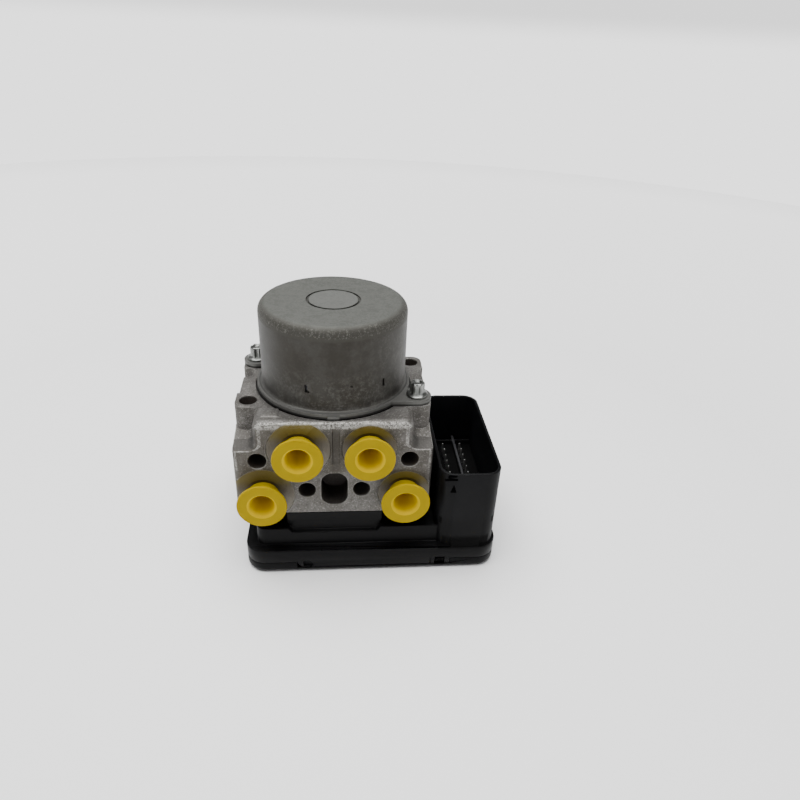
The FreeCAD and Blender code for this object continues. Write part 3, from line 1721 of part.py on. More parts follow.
def housing_tongue(body):
    """The lap over the cover's front, with a thin groove beside the right latch."""
    tongue = new_sketch(body, "XY_Plane", S.tongue_low)
    tongue_outline(tongue)
    extrude(body, "Pad", tongue, PARTING_Z - S.tongue_low)
    tick = new_sketch(body, "XZ_Plane", RIM_FRONT)
    half = S.tick_width / 2
    rectangle(tick, TICK_X - half, TICK_X + half, S.tongue_low, S.tick_high)
    cut(body, tick, S.tick_depth)


def latch_bars(body):
    """Two thin bars in the right latch window."""
    middle = (S.latch_low + S.latch_high) / 2
    bar = S.latch_bar
    bars = new_sketch(body, "XZ_Plane", RIM_FRONT - S.latch_depth)
    left = LATCH_RIGHT_X - S.latch_half_width
    right = LATCH_RIGHT_X + S.latch_half_width
    rectangle(bars, left, right, middle - bar * 2.2, middle - bar * 1.2)
    rectangle(bars, left, right, middle + bar * 1.2, middle + bar * 2.2)
    extrude(body, "Pad", bars, S.latch_depth - bar, False)


def controller_housing():
    body = new_body("controller_housing")
    housing_outside(body)
    housing_inside(body)
    housing_connector(body)
    housing_tongue(body)
    housing_details(body)
    latch_bars(body)
    return body


def housing_seal():
    body = new_body("housing_seal")
    sketch = new_sketch(body, "XY_Plane", BLOCK_Z - S.seal_depth)
    seal_outlines(sketch)
    extrude(body, "Pad", sketch, S.seal_depth)
    return body


def controller_cover():
    body = new_body("controller_cover")
    rim_x = (-RIM_LEFT, RIM_RIGHT)
    rim_y = (-RIM_FRONT, RIM_BACK)
    box_on(body, *rim_x, *rim_y, 0, S.cover_height, S.rim_corner)
    round_edges(
        body,
        S.cover_edge_round,
        lambda edge, middle, ends: near(middle.z, 0) and all(near(p.z, 0) for p in ends),
    )
    wall = S.shell_wall
    inside_x = (-RIM_LEFT + wall, RIM_RIGHT - wall)
    inside_y = (-RIM_FRONT + wall, RIM_BACK - wall)
    inside_height = S.cover_height - S.cover_floor
    box_out(body, *inside_x, *inside_y, S.cover_floor, inside_height, S.rim_corner - wall)
    lap = new_sketch(body, "XY_Plane", S.tongue_low)
    tongue_outline(lap)
    cut(body, lap, PARTING_Z - S.tongue_low, True)
    latches(body)
    return body


def circuit_board():
    """The board against its ledge in the housing, with its larger chips underneath."""
    body = new_body("circuit_board")
    inset = S.shell_wall + S.board_gap
    low = BOARD_TOP_Z - S.board_thick
    board_x = (-RIM_LEFT + inset, RIM_RIGHT - inset)
    board_y = (-RIM_FRONT + inset, RIM_BACK - inset)
    box_on(body, *board_x, *board_y, low, S.board_thick, S.rim_corner - inset)
    chips = new_sketch(body, "XY_Plane", low)
    half = S.chip_side / 2
    for x, y, reach in ((-15, 0, half), (20, -10, half / 2), (20, 10, half / 2)):
        rectangle(chips, x - reach, x + reach, y - reach, y + reach)
    extrude(body, "Pad", chips, S.chip_thick, True)
    return body


def pin_places():
    places = []
    for x in (PIN_LEFT_X, PIN_RIGHT_X):
        for row in range(PIN_ROWS):
            places.append((x, S.pin_back_y - row * S.pin_pitch))
    return places


def connector_pins():
    length = S.pin_tip - BOARD_TOP_Z
    pins = [rod(S.pin_radius, length, (x, y, BOARD_TOP_Z)) for x, y in pin_places()]
    return group("connector_pins", pins)


def controller_screw(x, y):
    top = BLOCK_Z + S.screw_reach
    return turned("screw", [
        (0, CAVITY_Z - S.screw_head_height),
        (S.screw_head_radius, CAVITY_Z - S.screw_head_height),
        (S.screw_head_radius, CAVITY_Z),
        (S.screw_radius, CAVITY_Z),
        (S.screw_radius, top),
        (0, top),
    ], (x, y, 0))


def controller_screws():
    return group("controller_screws", [controller_screw(x, y) for x, y in screw_places()])


def build_all():
    nodes = [
        motor_can(),
        field_magnets(),
        rotor_shaft(),
        eccentric_bearing(),
        rotor_core(),
        windings(),
        commutator(),
        top_bush(),
        lower_bearing(),
        brush_plate(),
        brushes(),
        motor_terminals(),
        motor_seal(),
        motor_bolts(),
        valve_block(),
        solenoid_coils(),
        controller_housing(),
        housing_seal(),
        controller_cover(),
        circuit_board(),
        connector_pins(),
        controller_screws(),
    ]
    for side, name in ((-1, "left"), (1, "right")):
        nodes.append(pump_piston(side, name))
        nodes.append(pump_plug(side, name))
        nodes.append(pump_spring(side, name))
        nodes.append(reservoir_piston(side, name))
        nodes.append(reservoir_cap(side, name))
        nodes.append(reservoir_spring(side, name))
    for name, x, y in valve_places():
        nodes.append(valve_cartridge(name, x, y))
        nodes.append(armature(name, x, y))
    return nodes + port_plugs()


def check(nodes):
    for thing in DOC.Objects:
        if "Invalid" in thing.State or "Error" in thing.State:
            raise ValueError(f"{thing.Name} ({thing.Label}) failed: {thing.State}")
        if thing.TypeId == "PartDesign::Pocket":
            if not thing.Shape.Volume < thing.BaseFeature.Shape.Volume:
                raise ValueError(f"{thing.Name} cuts nothing")
    for node in nodes:
        if node.Shape.isNull() or not node.Shape.isValid():
            raise ValueError(f"{node.Label} has no valid shape")


def write(nodes):
    os.makedirs("parts", exist_ok=True)
    for node in nodes:
        node.Shape.exportStep(f"parts/{node.Label}.step")
        solids = len(node.Shape.Solids)
        print(f"{node.Label}: {solids} solids, {node.Shape.Volume:.1f} cubic mm")


NODES = build_all()
DOC.recompute()
check(NODES)
write(NODES)
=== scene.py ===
# %% [markdown]
# # Dressing a brake module
#
# The module is a block of forged light metal with a round pump motor on top, pipe ports that are
# closed by yellow plugs, and a black plastic controller under it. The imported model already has
# every piece at its real size. This script gives each piece its finish, models again the
# pieces whose looks need more than flat and round faces, and lights the whole for one picture.

# %% The frame
import json
import math

import bpy
from mathutils import Matrix, Vector


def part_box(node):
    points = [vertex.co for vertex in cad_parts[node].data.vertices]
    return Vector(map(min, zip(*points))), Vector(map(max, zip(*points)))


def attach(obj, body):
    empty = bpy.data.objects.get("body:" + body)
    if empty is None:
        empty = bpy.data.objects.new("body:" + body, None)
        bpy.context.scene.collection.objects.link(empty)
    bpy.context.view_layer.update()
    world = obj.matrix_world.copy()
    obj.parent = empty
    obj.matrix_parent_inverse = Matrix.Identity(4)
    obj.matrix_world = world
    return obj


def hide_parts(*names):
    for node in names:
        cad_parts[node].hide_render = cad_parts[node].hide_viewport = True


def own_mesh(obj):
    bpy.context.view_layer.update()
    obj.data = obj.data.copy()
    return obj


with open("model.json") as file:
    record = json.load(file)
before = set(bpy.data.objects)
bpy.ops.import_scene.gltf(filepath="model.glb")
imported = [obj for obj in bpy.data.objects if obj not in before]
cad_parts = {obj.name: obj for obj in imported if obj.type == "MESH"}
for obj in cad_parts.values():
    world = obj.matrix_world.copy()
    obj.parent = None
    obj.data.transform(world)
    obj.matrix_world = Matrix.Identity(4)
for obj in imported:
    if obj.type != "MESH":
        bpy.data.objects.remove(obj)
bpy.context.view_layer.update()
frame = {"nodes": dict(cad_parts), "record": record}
nodes = frame["nodes"]
MM = 0.001

# %% [markdown]
# ## The camera
#
# A photograph fixes its camera: the lines that are parallel on the object meet at points that
# give the lens, and the sizes that are known give the distance. The camera stands in front of
# the ports, a little left of the connector, and looks down at about thirty degrees. It is also
# rolled by a few degrees, as a camera held by hand is.

# %% Camera
CAMERA_AT = Vector((2.45, -288.15, 240.12)) * MM
CAMERA_YAW = math.radians(6.34)
CAMERA_PITCH = math.radians(30.15)
CAMERA_ROLL = math.radians(2.88)
FOCAL_PIXELS = 635.03
PICTURE_PIXELS = 800
SENSOR_MM = 36.0

bpy.ops.object.select_all(action="DESELECT")
bpy.ops.object.camera_add(location=CAMERA_AT)
camera = bpy.context.object
camera.name = "camera"
turn = Matrix.Rotation(-CAMERA_YAW, 4, "Z")
tilt = Matrix.Rotation(math.pi / 2 - CAMERA_PITCH, 4, "X")
roll = Matrix.Rotation(CAMERA_ROLL, 4, "Z")
camera.matrix_world = Matrix.Translation(CAMERA_AT) @ turn @ tilt @ roll
camera.data.sensor_width = SENSOR_MM
camera.data.lens = FOCAL_PIXELS / PICTURE_PIXELS * SENSOR_MM
camera.data.clip_start = 1 * MM
bpy.context.scene.camera = camera
print("lens in mm:", round(camera.data.lens, 2))

# %% [markdown]
# ## Floor and light
#
# A product picture is taken in a white room: a pale table before bright walls, and a dark
# ceiling, because what a glossy face mirrors is what gives it its form. The table is one round
# plane. Its outer part glows a little, more so towards its edge, because the lamps stand over
# its middle and the far edge would be darker than the wall behind it.

# %% Floor
FLOOR_RADIUS = 1.15
FLOOR_BRIGHTNESS = 0.93
FLOOR_ROUGHNESS = 0.9
FLOOR_LIT_RADIUS = 0.3
FLOOR_EDGE_GLOW = 1.1

bpy.ops.object.select_all(action="DESELECT")
bpy.ops.mesh.primitive_circle_add(vertices=96, radius=FLOOR_RADIUS, fill_type="NGON")
floor = bpy.context.object
floor.name = "floor"
floor_white = bpy.data.materials.new("floor_white")
floor_white.use_nodes = True
floor_nodes = floor_white.node_tree.nodes
floor_link = floor_white.node_tree.links.new
floor_shader = floor_nodes["Principled BSDF"]
floor_shader.inputs["Base Color"].default_value = (FLOOR_BRIGHTNESS,) * 3 + (1,)
floor_shader.inputs["Roughness"].default_value = FLOOR_ROUGHNESS
floor_shader.inputs["Emission Strength"].default_value = 1.0

# The gradient is 1 in the middle and 0 from one metre on
floor_place = floor_nodes.new("ShaderNodeTexCoord")
floor_gradient = floor_nodes.new("ShaderNodeTexGradient")
floor_gradient.gradient_type = "SPHERICAL"
floor_glow = floor_nodes.new("ShaderNodeValToRGB")
edge_stop, lit_stop = floor_glow.color_ramp.elements
edge_stop.color = (FLOOR_EDGE_GLOW,) * 3 + (1,)
lit_stop.position = 1 - FLOOR_LIT_RADIUS
lit_stop.color = (0, 0, 0, 1)
floor_link(floor_place.outputs["Object"], floor_gradient.inputs["Vector"])
floor_link(floor_gradient.outputs["Fac"], floor_glow.inputs["Fac"])
floor_link(floor_glow.outputs["Color"], floor_shader.inputs["Emission Color"])
floor.data.materials.append(floor_white)
print("floor radius in m:", FLOOR_RADIUS)

# %% [markdown]
# A broad light overhead gives the pale tops, and two weak ones from the front and the right give
# the rims their lines. All are discs, and all face the middle of the module.

# %% Lights
MIDDLE = Vector((0.01, 0, 0.06))


def soft_light(name, place, size, power):
    """A round area light at a place in metres that faces the middle of the module."""
    bpy.ops.object.light_add(type="AREA", location=place)
    light = bpy.context.object
    light.name = name
    light.data.shape = "DISK"
    light.data.size = size
    light.data.energy = power
    aim = MIDDLE - Vector(place)
    light.rotation_euler = aim.to_track_quat("-Z", "Y").to_euler()
    print(name, "power:", power)


soft_light("top_light", (-0.1, 0.05, 1.1), size=1.3, power=34)
soft_light("front_light", (-0.5, -1.0, 0.75), size=0.5, power=0.8)
soft_light("right_light", (1.0, -0.3, 0.6), size=0.5, power=1.5)

# %% [markdown]
# The room is the sky. Its walls are bright and its ceiling is dim, so black plastic stays black
# on top. At the horizon and below it the walls are brighter still, as pale as the table's edge,
# so that no line parts the table from the wall. Heights are the upward share of a direction: 0
# is the horizon and 1 is straight up.

# %% Room
WALL_TOP = 0.1
CEILING = 0.36
WALL_GLOW = 1.5
CEILING_GLOW = 0.1
HORIZON_LOW = -0.005
HORIZON_HIGH = 0.03
HORIZON_GLOW = 2.15

room = bpy.data.worlds.new("white_room")
room.use_nodes = True
room_nodes = room.node_tree.nodes
room_link = room.node_tree.links.new
towards = room_nodes.new("ShaderNodeTexCoord")
height = room_nodes.new("ShaderNodeSeparateXYZ")
room_link(towards.outputs["Generated"], height.inputs["Vector"])


def room_fade(low, high, below, above):
    """A glow that goes from one value to another between two heights."""
    fade = room_nodes.new("ShaderNodeMapRange")
    fade.interpolation_type = "SMOOTHSTEP"
    fade.inputs["From Min"].default_value = low
    fade.inputs["From Max"].default_value = high
    fade.inputs["To Min"].default_value = below
    fade.inputs["To Max"].default_value = above
    room_link(height.outputs["Z"], fade.inputs["Value"])
    return fade.outputs["Result"]


glow = room_nodes.new("ShaderNodeMath")
room_link(room_fade(WALL_TOP, CEILING, WALL_GLOW, CEILING_GLOW), glow.inputs[0])
room_link(room_fade(HORIZON_LOW, HORIZON_HIGH, HORIZON_GLOW - WALL_GLOW, 0), glow.inputs[1])
backdrop = room_nodes["Background"]
backdrop.inputs["Color"].default_value = (1, 1, 1, 1)
room_link(glow.outputs[0], backdrop.inputs["Strength"])
bpy.context.scene.world = room
print("room glow:", CEILING_GLOW, "to", HORIZON_GLOW)

# %% [markdown]
# ## Arithmetic on sockets
#
# A procedural finish is a sum of masks and noises. Written with nodes and links it takes ten
# lines for each plus sign. A small class that wraps a socket and adds a Math node for each
# operator lets the finish be read as a formula instead.


# %% Socket class
class Wire:
    """One output socket of a material. Sums and products of wires add Math nodes."""

    def __init__(self, paint, socket):
        self.paint = paint
        self.socket = socket

    def __add__(self, other):
        return self.paint.math("ADD", self, other)

    def __sub__(self, other):
        return self.paint.math("SUBTRACT", self, other)

    def __mul__(self, other):
        return self.paint.math("MULTIPLY", self, other)

    def __truediv__(self, other):
        return self.paint.math("DIVIDE", self, other)

    def __radd__(self, other):
        return self.paint.math("ADD", other, self)

    def __rsub__(self, other):
        return self.paint.math("SUBTRACT", other, self)

    def __lt__(self, other):
        return self.paint.math("LESS_THAN", self, other)

    def __gt__(self, other):
        return self.paint.math("GREATER_THAN", self, other)


# %% [markdown]
# ## Building a material
#
# A finish is built as paint is: a base colour, and then one coat after another, each with a mask
# that says how far it covers. The masks come from the place on the object, in millimetres, and
# from noises. Edges are found by the Bevel node: it gives a normal as if the edge were round,
# and where that leaves the face's own normal, there is an edge.


# %% Material class
class Paint:
    """A material while it is built: its nodes, its shader and its position in millimetres."""

    # A Mix node has sockets for each kind of value, and these are its colours by number
    MIX_FIRST = 6
    MIX_SECOND = 7
    MIX_RESULT = 2
    edge = 0.35

    def __init__(self, name, **uniform):
        self.material = bpy.data.materials.new(name)
        self.material.use_nodes = True
        self.tree = self.material.node_tree
        self.shader = self.tree.nodes["Principled BSDF"]
        for socket, value in uniform.items():
            self.set(socket.replace("_", " ").title().replace("Ior", "IOR"), value)
        place = self.node("TexCoord", output="Object")
        scale = {"Vector": place, "Scale": 1 / MM}
        self.place = self.node("VectorMath", {"operation": "SCALE"}, scale)

    def node(self, kind, settings=None, values=None, output=0):
        """Adds a node: its settings first, then its sockets, as values or wires."""
        new = self.tree.nodes.new(f"ShaderNode{kind}")
        for name, value in (settings or {}).items():
            setattr(new, name, value)
        for name, value in (values or {}).items():
            self.fill(new.inputs[name], value)
        return Wire(self, new.outputs[output])

    def fill(self, socket, value):
        """Gives a socket a wire, a colour or a plain value."""
        if isinstance(value, Wire):
            self.tree.links.new(value.socket, socket)
        elif isinstance(value, tuple) and len(value) == 3 and socket.type == "RGBA":
            socket.default_value = value + (1,)
        else:
            socket.default_value = value

    def set(self, name, value):
        """Gives the shader's own socket a value or a wire."""
        self.fill(self.shader.inputs[name], value)

    def math(self, operation, first, second=0.0):
        return self.node("Math", {"operation": operation}, {0: first, 1: second})

    def size_of(self, value):
        """The value without its sign."""
        return self.math("ABSOLUTE", value)

    def most(self, first, second):
        return self.math("MAXIMUM", first, second)

    def ramp(self, value, low, high):
        """0 where the value is low, 1 where it is high, smooth between them."""
        settings = {"interpolation_type": "SMOOTHSTEP"}
        values = {"Value": value, "From Min": low, "From Max": high}
        return self.node("MapRange", settings, values)

    def within(self, value, low, high, blur=0.3):
        """1 between low and high, 0 outside them."""
        return self.ramp(value, low - blur, low) * (1 - self.ramp(value, high, high + blur))

    def axis(self, name):
        return self.node("SeparateXYZ", {}, {"Vector": self.place}, output=name)

    def far_from(self, across, up, first="X", second="Z"):
        """Distance in millimetres from a line that runs along the third axis."""
        over = self.axis(first) - across
        rise = self.axis(second) - up
        return self.math("SQRT", over * over + rise * rise)

    def stretched(self, x, y, z):
        """The place with each axis stretched, for streaks."""
        settings = {"operation": "MULTIPLY"}
        return self.node("VectorMath", settings, {0: self.place, 1: (1 / x, 1 / y, 1 / z)})

    def noise(self, size, detail=2.0, roughness=0.5, at=None):
        """Cloudy noise from 0 to 1 whose blotches are about size millimetres."""
        values = {
            "Vector": at or self.place,
            "Scale": 1 / size,
            "Detail": detail,
            "Roughness": roughness,
        }
        return self.node("TexNoise", {}, values)

    def grains(self, size):
        """A random value from 0 to 1 for each of many small cells."""
        values = {"Vector": self.place, "Scale": 1 / size}
        colour = self.node("TexVoronoi", {}, values, output="Color")
        return self.node("SeparateColor", {}, {"Color": colour}, output="Red")

    def worn_edge(self, radius, low=0.02, high=0.2):
        """1 along edges, where a rounded normal leaves the face's own."""
        soft = self.node("Bevel", {"samples": 4}, {"Radius": radius * MM})
        true = self.node("NewGeometry", output="True Normal")
        settings = {"operation": "DOT_PRODUCT"}
        turn = self.node("VectorMath", settings, {0: soft, 1: true}, output="Value")
        return self.ramp(1 - turn, low, high)

    def mix(self, mask, first, second):
        """A colour between two colours."""
        new = self.tree.nodes.new("ShaderNodeMix")
        new.data_type = "RGBA"
        self.fill(new.inputs["Factor"], mask)
        self.fill(new.inputs[self.MIX_FIRST], first)
        self.fill(new.inputs[self.MIX_SECOND], second)
        return Wire(self, new.outputs[self.MIX_RESULT])

    def ground(self, mask, first, second):
        """The base colour before any coat, between two tones."""
        self.base = self.mix(mask, first, second)

    def coat(self, mask, colour):
        """Lays a colour over the base, as far as the mask says."""
        self.base = self.mix(mask, self.base, colour)

    def finish(self, roughness, relief, depth):
        """Links colour, roughness and a relief of depth millimetres, on slightly round edges."""
        soft = self.node("Bevel", {"samples": 4}, {"Radius": self.edge * MM})
        values = {"Height": relief, "Distance": depth * MM, "Strength": 1.0, "Normal": soft}
        self.set("Base Color", self.base)
        self.set("Roughness", roughness)
        self.set("Normal", self.node("Bump", {}, values))
        print("finish:", self.material.name, "with", len(self.tree.nodes), "nodes")
        return self.material


# %% [markdown]
# ## Finishes of the pieces that show
#
# The can is drawn steel with dull zinc plating. Its top is grey-green with paler patches and
# fine scratches, and a narrow groove rings the bearing seat in its middle. Its side is darker,
# with brown clouds at the front where the plating has aged. The paler top and darker side are
# partly the zinc's own tone and partly painted light from above. The seat's edge is painted as a
# dark line, and the groove round it is painted dark as painted shade. The round shoulder between
# them is dark and full of pale crumbs, because years of knocks have chipped it. The flange at
# its foot is painted paler, a painted highlight along its lip, with a dark ring painted where
# the wall rises from it, the painted shade of a crease. Its lowest millimetre is painted dark,
# the painted shadow of the gap above the block.

# %% Sizes of the can
can_low, can_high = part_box("motor_can")
CAN_FOOT = round(can_low[2] / MM, 2)
CAN_TOP = round(can_high[2] / MM, 2)
CAN_RADIUS = 36.0
FLANGE_TOP = CAN_FOOT + 2.5
CAN_SEAT_RADIUS = 12.05
CAN_GROOVE_WIDTH = 1.1
print("can from", CAN_FOOT, "to", CAN_TOP, "mm")


# %% Can steel
def can_steel():
    paint = Paint("can_steel", metallic=0.7)
    x = paint.axis("X")
    y = paint.axis("Y")
    z = paint.axis("Z")
    from_axis = paint.far_from(0, 0, "X", "Y")
    clouds = paint.noise(15, 4, 0.6)
    patches = paint.noise(6, 4, 0.65)
    mottle = paint.noise(3.4, 5, 0.68)
    fine = paint.noise(1.1, 5, 0.7)
    grain = paint.noise(0.35, 3, 0.6)
    streaks = paint.noise(1, 2, 0.5, paint.stretched(0.25, 8, 8))

    top = paint.ramp(z, CAN_TOP - 1.65, CAN_TOP - 0.05)
    side = 1 - top
    front = paint.ramp(0 - y, CAN_RADIUS - 18, CAN_RADIUS - 3)
    right = paint.ramp(x, 8, 30)
    left = paint.ramp(0 - x, 22, 34)
    low = 1 - paint.ramp(z, CAN_FOOT + 8, CAN_FOOT + 28)
    # The paler top and darker side are partly the zinc's own tone and partly painted light from
    # above.
    paint.ground(top, (0.035, 0.033, 0.029), (0.116, 0.121, 0.112))

    aged = paint.ramp(clouds, 0.36, 0.56) * front * (1 - right * 0.6)
    paint.coat(aged * 0.8 * side, (0.024, 0.021, 0.0165))
    spots = mottle * 0.5 + fine * 0.5
    spread = paint.most(paint.most(low * 0.7, right * 0.5), left * 0.1 + 0.12)
    paint.coat(paint.ramp(spots, 0.44, 0.66) * spread * side, (0.08, 0.078, 0.07))
    paint.coat(left * side * 0.4, (0.038, 0.037, 0.0345))

    dull = paint.ramp(spots, 0.44, 0.58) * top
    paint.coat(dull * 0.55, (0.07, 0.075, 0.069))
    paint.coat(paint.ramp(patches, 0.42, 0.6) * top * 0.35, (0.125, 0.13, 0.12))

    shoulder = paint.within(z, CAN_TOP - 5.25, CAN_TOP - 0.65, 1.4)
    paint.coat(shoulder * 0.75, (0.05, 0.048, 0.041))
    crumbs = paint.ramp(grain * 0.45 + fine * 0.55, 0.5, 0.62)
    chipped = crumbs * paint.within(z, CAN_TOP - 4.25, CAN_TOP - 0.85, 1.0)
    chipped = chipped * (0.45 + paint.ramp(mottle, 0.42, 0.6) * 0.55)
    paint.coat(chipped * 0.6, (0.19, 0.186, 0.168))

    # Painted highlight: the flange and the foot of the wall are painted paler along the lip.
    lip_highlight = 1 - paint.ramp(z, FLANGE_TOP - 0.2, FLANGE_TOP + 1.1)
    paint.coat(lip_highlight * 0.6, (0.15, 0.15, 0.142))
    # Painted shade: a dark ring where the wall rises from the flange, for a crease.
    crease_shade = paint.within(from_axis, CAN_RADIUS + 0.8, CAN_RADIUS + 1.3, 0.3)
    paint.coat(crease_shade * lip_highlight * 0.75, (0.022, 0.021, 0.019))
    # Painted shadow: the lowest millimetre of the flange is darkened for the gap above the
    # block.
    flange_gap_shadow = 1 - paint.ramp(z, CAN_FOOT + 0.7, CAN_FOOT + 1.3)
    paint.coat(flange_gap_shadow * 0.8, (0.015, 0.014, 0.013))
    paint.coat(paint.ramp(grain, 0.6, 0.78) * 0.3, (0.02, 0.018, 0.016))

    # The seat's edge is painted as a dark line, and the groove round it is painted dark as
    # painted shade.
    groove_end = CAN_SEAT_RADIUS + CAN_GROOVE_WIDTH
    groove = paint.within(from_axis, CAN_SEAT_RADIUS, groove_end, 0.2)
    seat_edge = paint.within(from_axis, CAN_SEAT_RADIUS - 0.1, CAN_SEAT_RADIUS + 0.2, 0.2)
    seat_edge = seat_edge * (0.5 + paint.ramp(mottle, 0.4, 0.55) * 0.5)
    groove_shade = paint.most(groove * 0.5, seat_edge) * (z > CAN_TOP - 1.05)
    paint.coat(groove_shade * 0.9, (0.03, 0.03, 0.028))
    seat = 1 - paint.ramp(from_axis, CAN_SEAT_RADIUS - 0.85, CAN_SEAT_RADIUS - 0.25)
    paint.coat(seat * top * 0.3, (0.15, 0.152, 0.145))
    paint.coat(paint.ramp(streaks, 0.66, 0.72) * top * 0.2, (0.2, 0.2, 0.19))

    roughness = 0.48 + clouds * 0.12 + shoulder * 0.14 + dull * 0.08
    relief = grain * 0.4 + mottle * 0.7 + chipped * 0.3 + shoulder * grain * 0.8
    return paint.finish(roughness, relief, 0.06)


# %% [markdown]
# The block is forged and then machined: a front face with four ports in round seats, two fixing
# holes and two smaller ones, a pocket and a shallow groove down the middle. Two of the holes in
# its four ears are open. What follows gives their places in millimetres.

# %% Places on the block
FACE = round(-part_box("valve_block")[0][1] / MM, 2)
UPPER_PORT_X = 16.6
UPPER_PORT_Z = 69.0
LOWER_PORT_X = 34.2
LOWER_PORT_Z = 43.0
PORTS = (
    # middle across, middle up, radius of the machined seat
    (-LOWER_PORT_X, LOWER_PORT_Z, 15.0),
    (-UPPER_PORT_X, UPPER_PORT_Z, 15.0),
    (UPPER_PORT_X, UPPER_PORT_Z, 13.0),
    (LOWER_PORT_X, LOWER_PORT_Z, 13.0),
)
FRONT_HOLES = ((-36.0, 63.2), (-13.2, 45.9), (13.2, 45.9), (36.0, 63.2))
EAR_HOLES = ((-41.0, -20.1), (41.0, -20.1), (-41.0, 20.1), (41.0, 20.1))
HOLE_RADIUS = 4.6
POCKET_HALF_WIDTH = 6.6
POCKET_LOW = 36.6
POCKET_HIGH = 55.6
GROOVE_X = 1.0
GROOVE_REACH = 3.5
print("front face at", -FACE, "mm, top at", CAN_FOOT, "mm")

# %% [markdown]
# The block's finish is built in four steps, each a function of its own: the bare metal, what
# brake fluid has left on it, what has been rubbed bright, and the hollows that stay dark. All
# four need the same places and noises, so these are made once and kept with the material. Two
# places help most: how far a point lies behind the front face, and how far above the plane on
# which the can stands.


# %% What the block's coats share
class BlockPaint(Paint):
    """The block's material with the places, noises and port masks that its coats share."""

    def __init__(self):
        super().__init__("block_aluminium", metallic=0.6)
        self.x = self.axis("X")
        self.z = self.axis("Z")
        self.behind = self.axis("Y") + FACE
        self.above = self.z - CAN_FOOT
        self.from_middle = self.size_of(self.x)
        self.from_groove = self.size_of(self.x - GROOVE_X)
        self.grain = self.grains(0.45)
        self.fine = self.noise(0.5, 3, 0.7)
        self.medium = self.noise(1.7, 4, 0.7)
        self.clouds = self.noise(9, 4, 0.6)
        self.front = 1 - self.ramp(self.behind, 0.85, 1.5)
        self.ports = {}
        for port in PORTS:
            self.mask_port(*port)

    def mask_port(self, across, up, radius):
        """Adds one port to the masks of all: its seat, its stains, its rings and its rims."""
        distance = self.far_from(across, up)
        seat = 1 - self.ramp(distance, radius - 0.4, radius + 0.2)
        self.add_port_mask("seat", seat)
        self.add_port_mask("near", 1 - self.ramp(distance, 8.5, 15.5))
        self.add_port_mask("upper", seat * self.ramp(self.z - up, 2, 9))
        self.add_port_mask("rings", self.math("SINE", distance * 9.0) * seat)
        self.add_port_mask("rim", self.within(distance, radius + 0.2, radius + 1.2, 0.4))
        # A ring round each plug's neck, for its painted contact shadow.
        self.add_port_mask("neck", self.within(distance, 7.5, 8.7, 0.5))
        # Over each upper port the brow gets a painted highlight, an arc for its bulge catching
        # the light.
        if up == UPPER_PORT_Z:
            sideways = self.x - across
            bulge = self.ramp(2.6 - self.behind - sideways * sideways / 40, 0, 0.5)
            self.add_port_mask("bulge", bulge * (self.above > -1.4))

    def add_port_mask(self, name, mask):
        """The rings of all ports are summed. Of any other mask the strongest counts."""
        before = self.ports.get(name, 0.0)
        self.ports[name] = before + mask if name == "rings" else self.most(before, mask)


# %% [markdown]
# Forged faces are blasted. They sparkle with fine grains, pale and dark, which the cutter has
# thinned out on the round seats. The lower front and the flat tops are paler than the rest.


# %% Bare metal
def bare_metal(paint):
    clouds = paint.ramp(paint.clouds, 0.35, 0.7)
    paint.ground(clouds, (0.066, 0.06, 0.053), (0.116, 0.11, 0.102))
    low = 1 - paint.ramp(paint.z, 40, 50)
    paint.coat(low * paint.front * 0.3, (0.16, 0.155, 0.145))
    tops = paint.ramp(paint.above, -1.0, -0.2) * (1 - paint.ramp(paint.above, 1, 2))
    paint.coat(tops * 0.25, (0.16, 0.157, 0.15))
    paint.coat(paint.ramp(paint.medium, 0.5, 0.7) * 0.4, (0.05, 0.045, 0.039))
    paint.rough = 1 - paint.ports["seat"] * paint.front * 0.45
    pale_grains = paint.ramp(paint.grain, 0.8, 1.0)
    paint.coat(pale_grains * 0.34 * paint.rough, (0.34, 0.33, 0.31))
    dark_grains = paint.ramp(0.22 - paint.grain, 0.0, 0.22)
    paint.coat(dark_grains * 0.45 * paint.rough, (0.03, 0.027, 0.023))


# %% [markdown]
# Brake fluid has stained the front. It has darkened the metal round the ports and down the
# middle, and dried olive on the upper half of each seat; that olive is also a painted reflection
# of the yellow plugs. The seats' lower sides stay grey, and a dark ring is painted where the
# neck of each plug stands, a painted contact shadow. The recess at each upper corner is painted
# dark, a painted shade, and the left side has gone brown.


# %% Stains and painted shade
def stains_and_shade(paint):
    ports = paint.ports
    front = paint.front
    patchy = paint.clouds * 0.5 + paint.medium * 0.5
    middle = 1 - paint.ramp(paint.from_groove, 3, 13)
    middle = middle * paint.within(paint.z, 59, 76, 6)
    paint.wet = paint.most(ports["near"], middle * 0.8) * front
    paint.coat(paint.wet * paint.ramp(patchy, 0.2, 0.55) * 0.75, (0.034, 0.028, 0.014))
    # The olive on the upper seats is partly dried fluid and partly a painted reflection of the
    # plugs.
    paint.olive = ports["upper"] * front * paint.ramp(patchy, 0.2, 0.5)
    paint.coat(paint.olive * 0.85, (0.175, 0.14, 0.026))
    # Painted contact shadow: a dark ring where each plug's neck stands on its seat.
    paint.coat(ports["neck"] * front * 0.85, (0.02, 0.012, 0.004))
    lower = (ports["seat"] - ports["upper"]) * front
    paint.coat(lower * 0.6, (0.165, 0.148, 0.118))
    # Painted shade: the recess at each upper corner is darkened.
    corner_shade = paint.within(paint.behind, 0.6, 8.8, 0.4)
    corner_shade = corner_shade * paint.within(paint.above, -18, -1.6, 1)
    corner_shade = corner_shade * paint.ramp(paint.from_middle, 36.5, 38)
    paint.coat(corner_shade * 0.7, (0.03, 0.028, 0.025))
    brown = paint.ramp(0 - paint.x, 12, 36) * front * paint.ramp(paint.z, 38, 50)
    paint.coat(brown * 0.35, (0.05, 0.041, 0.026))
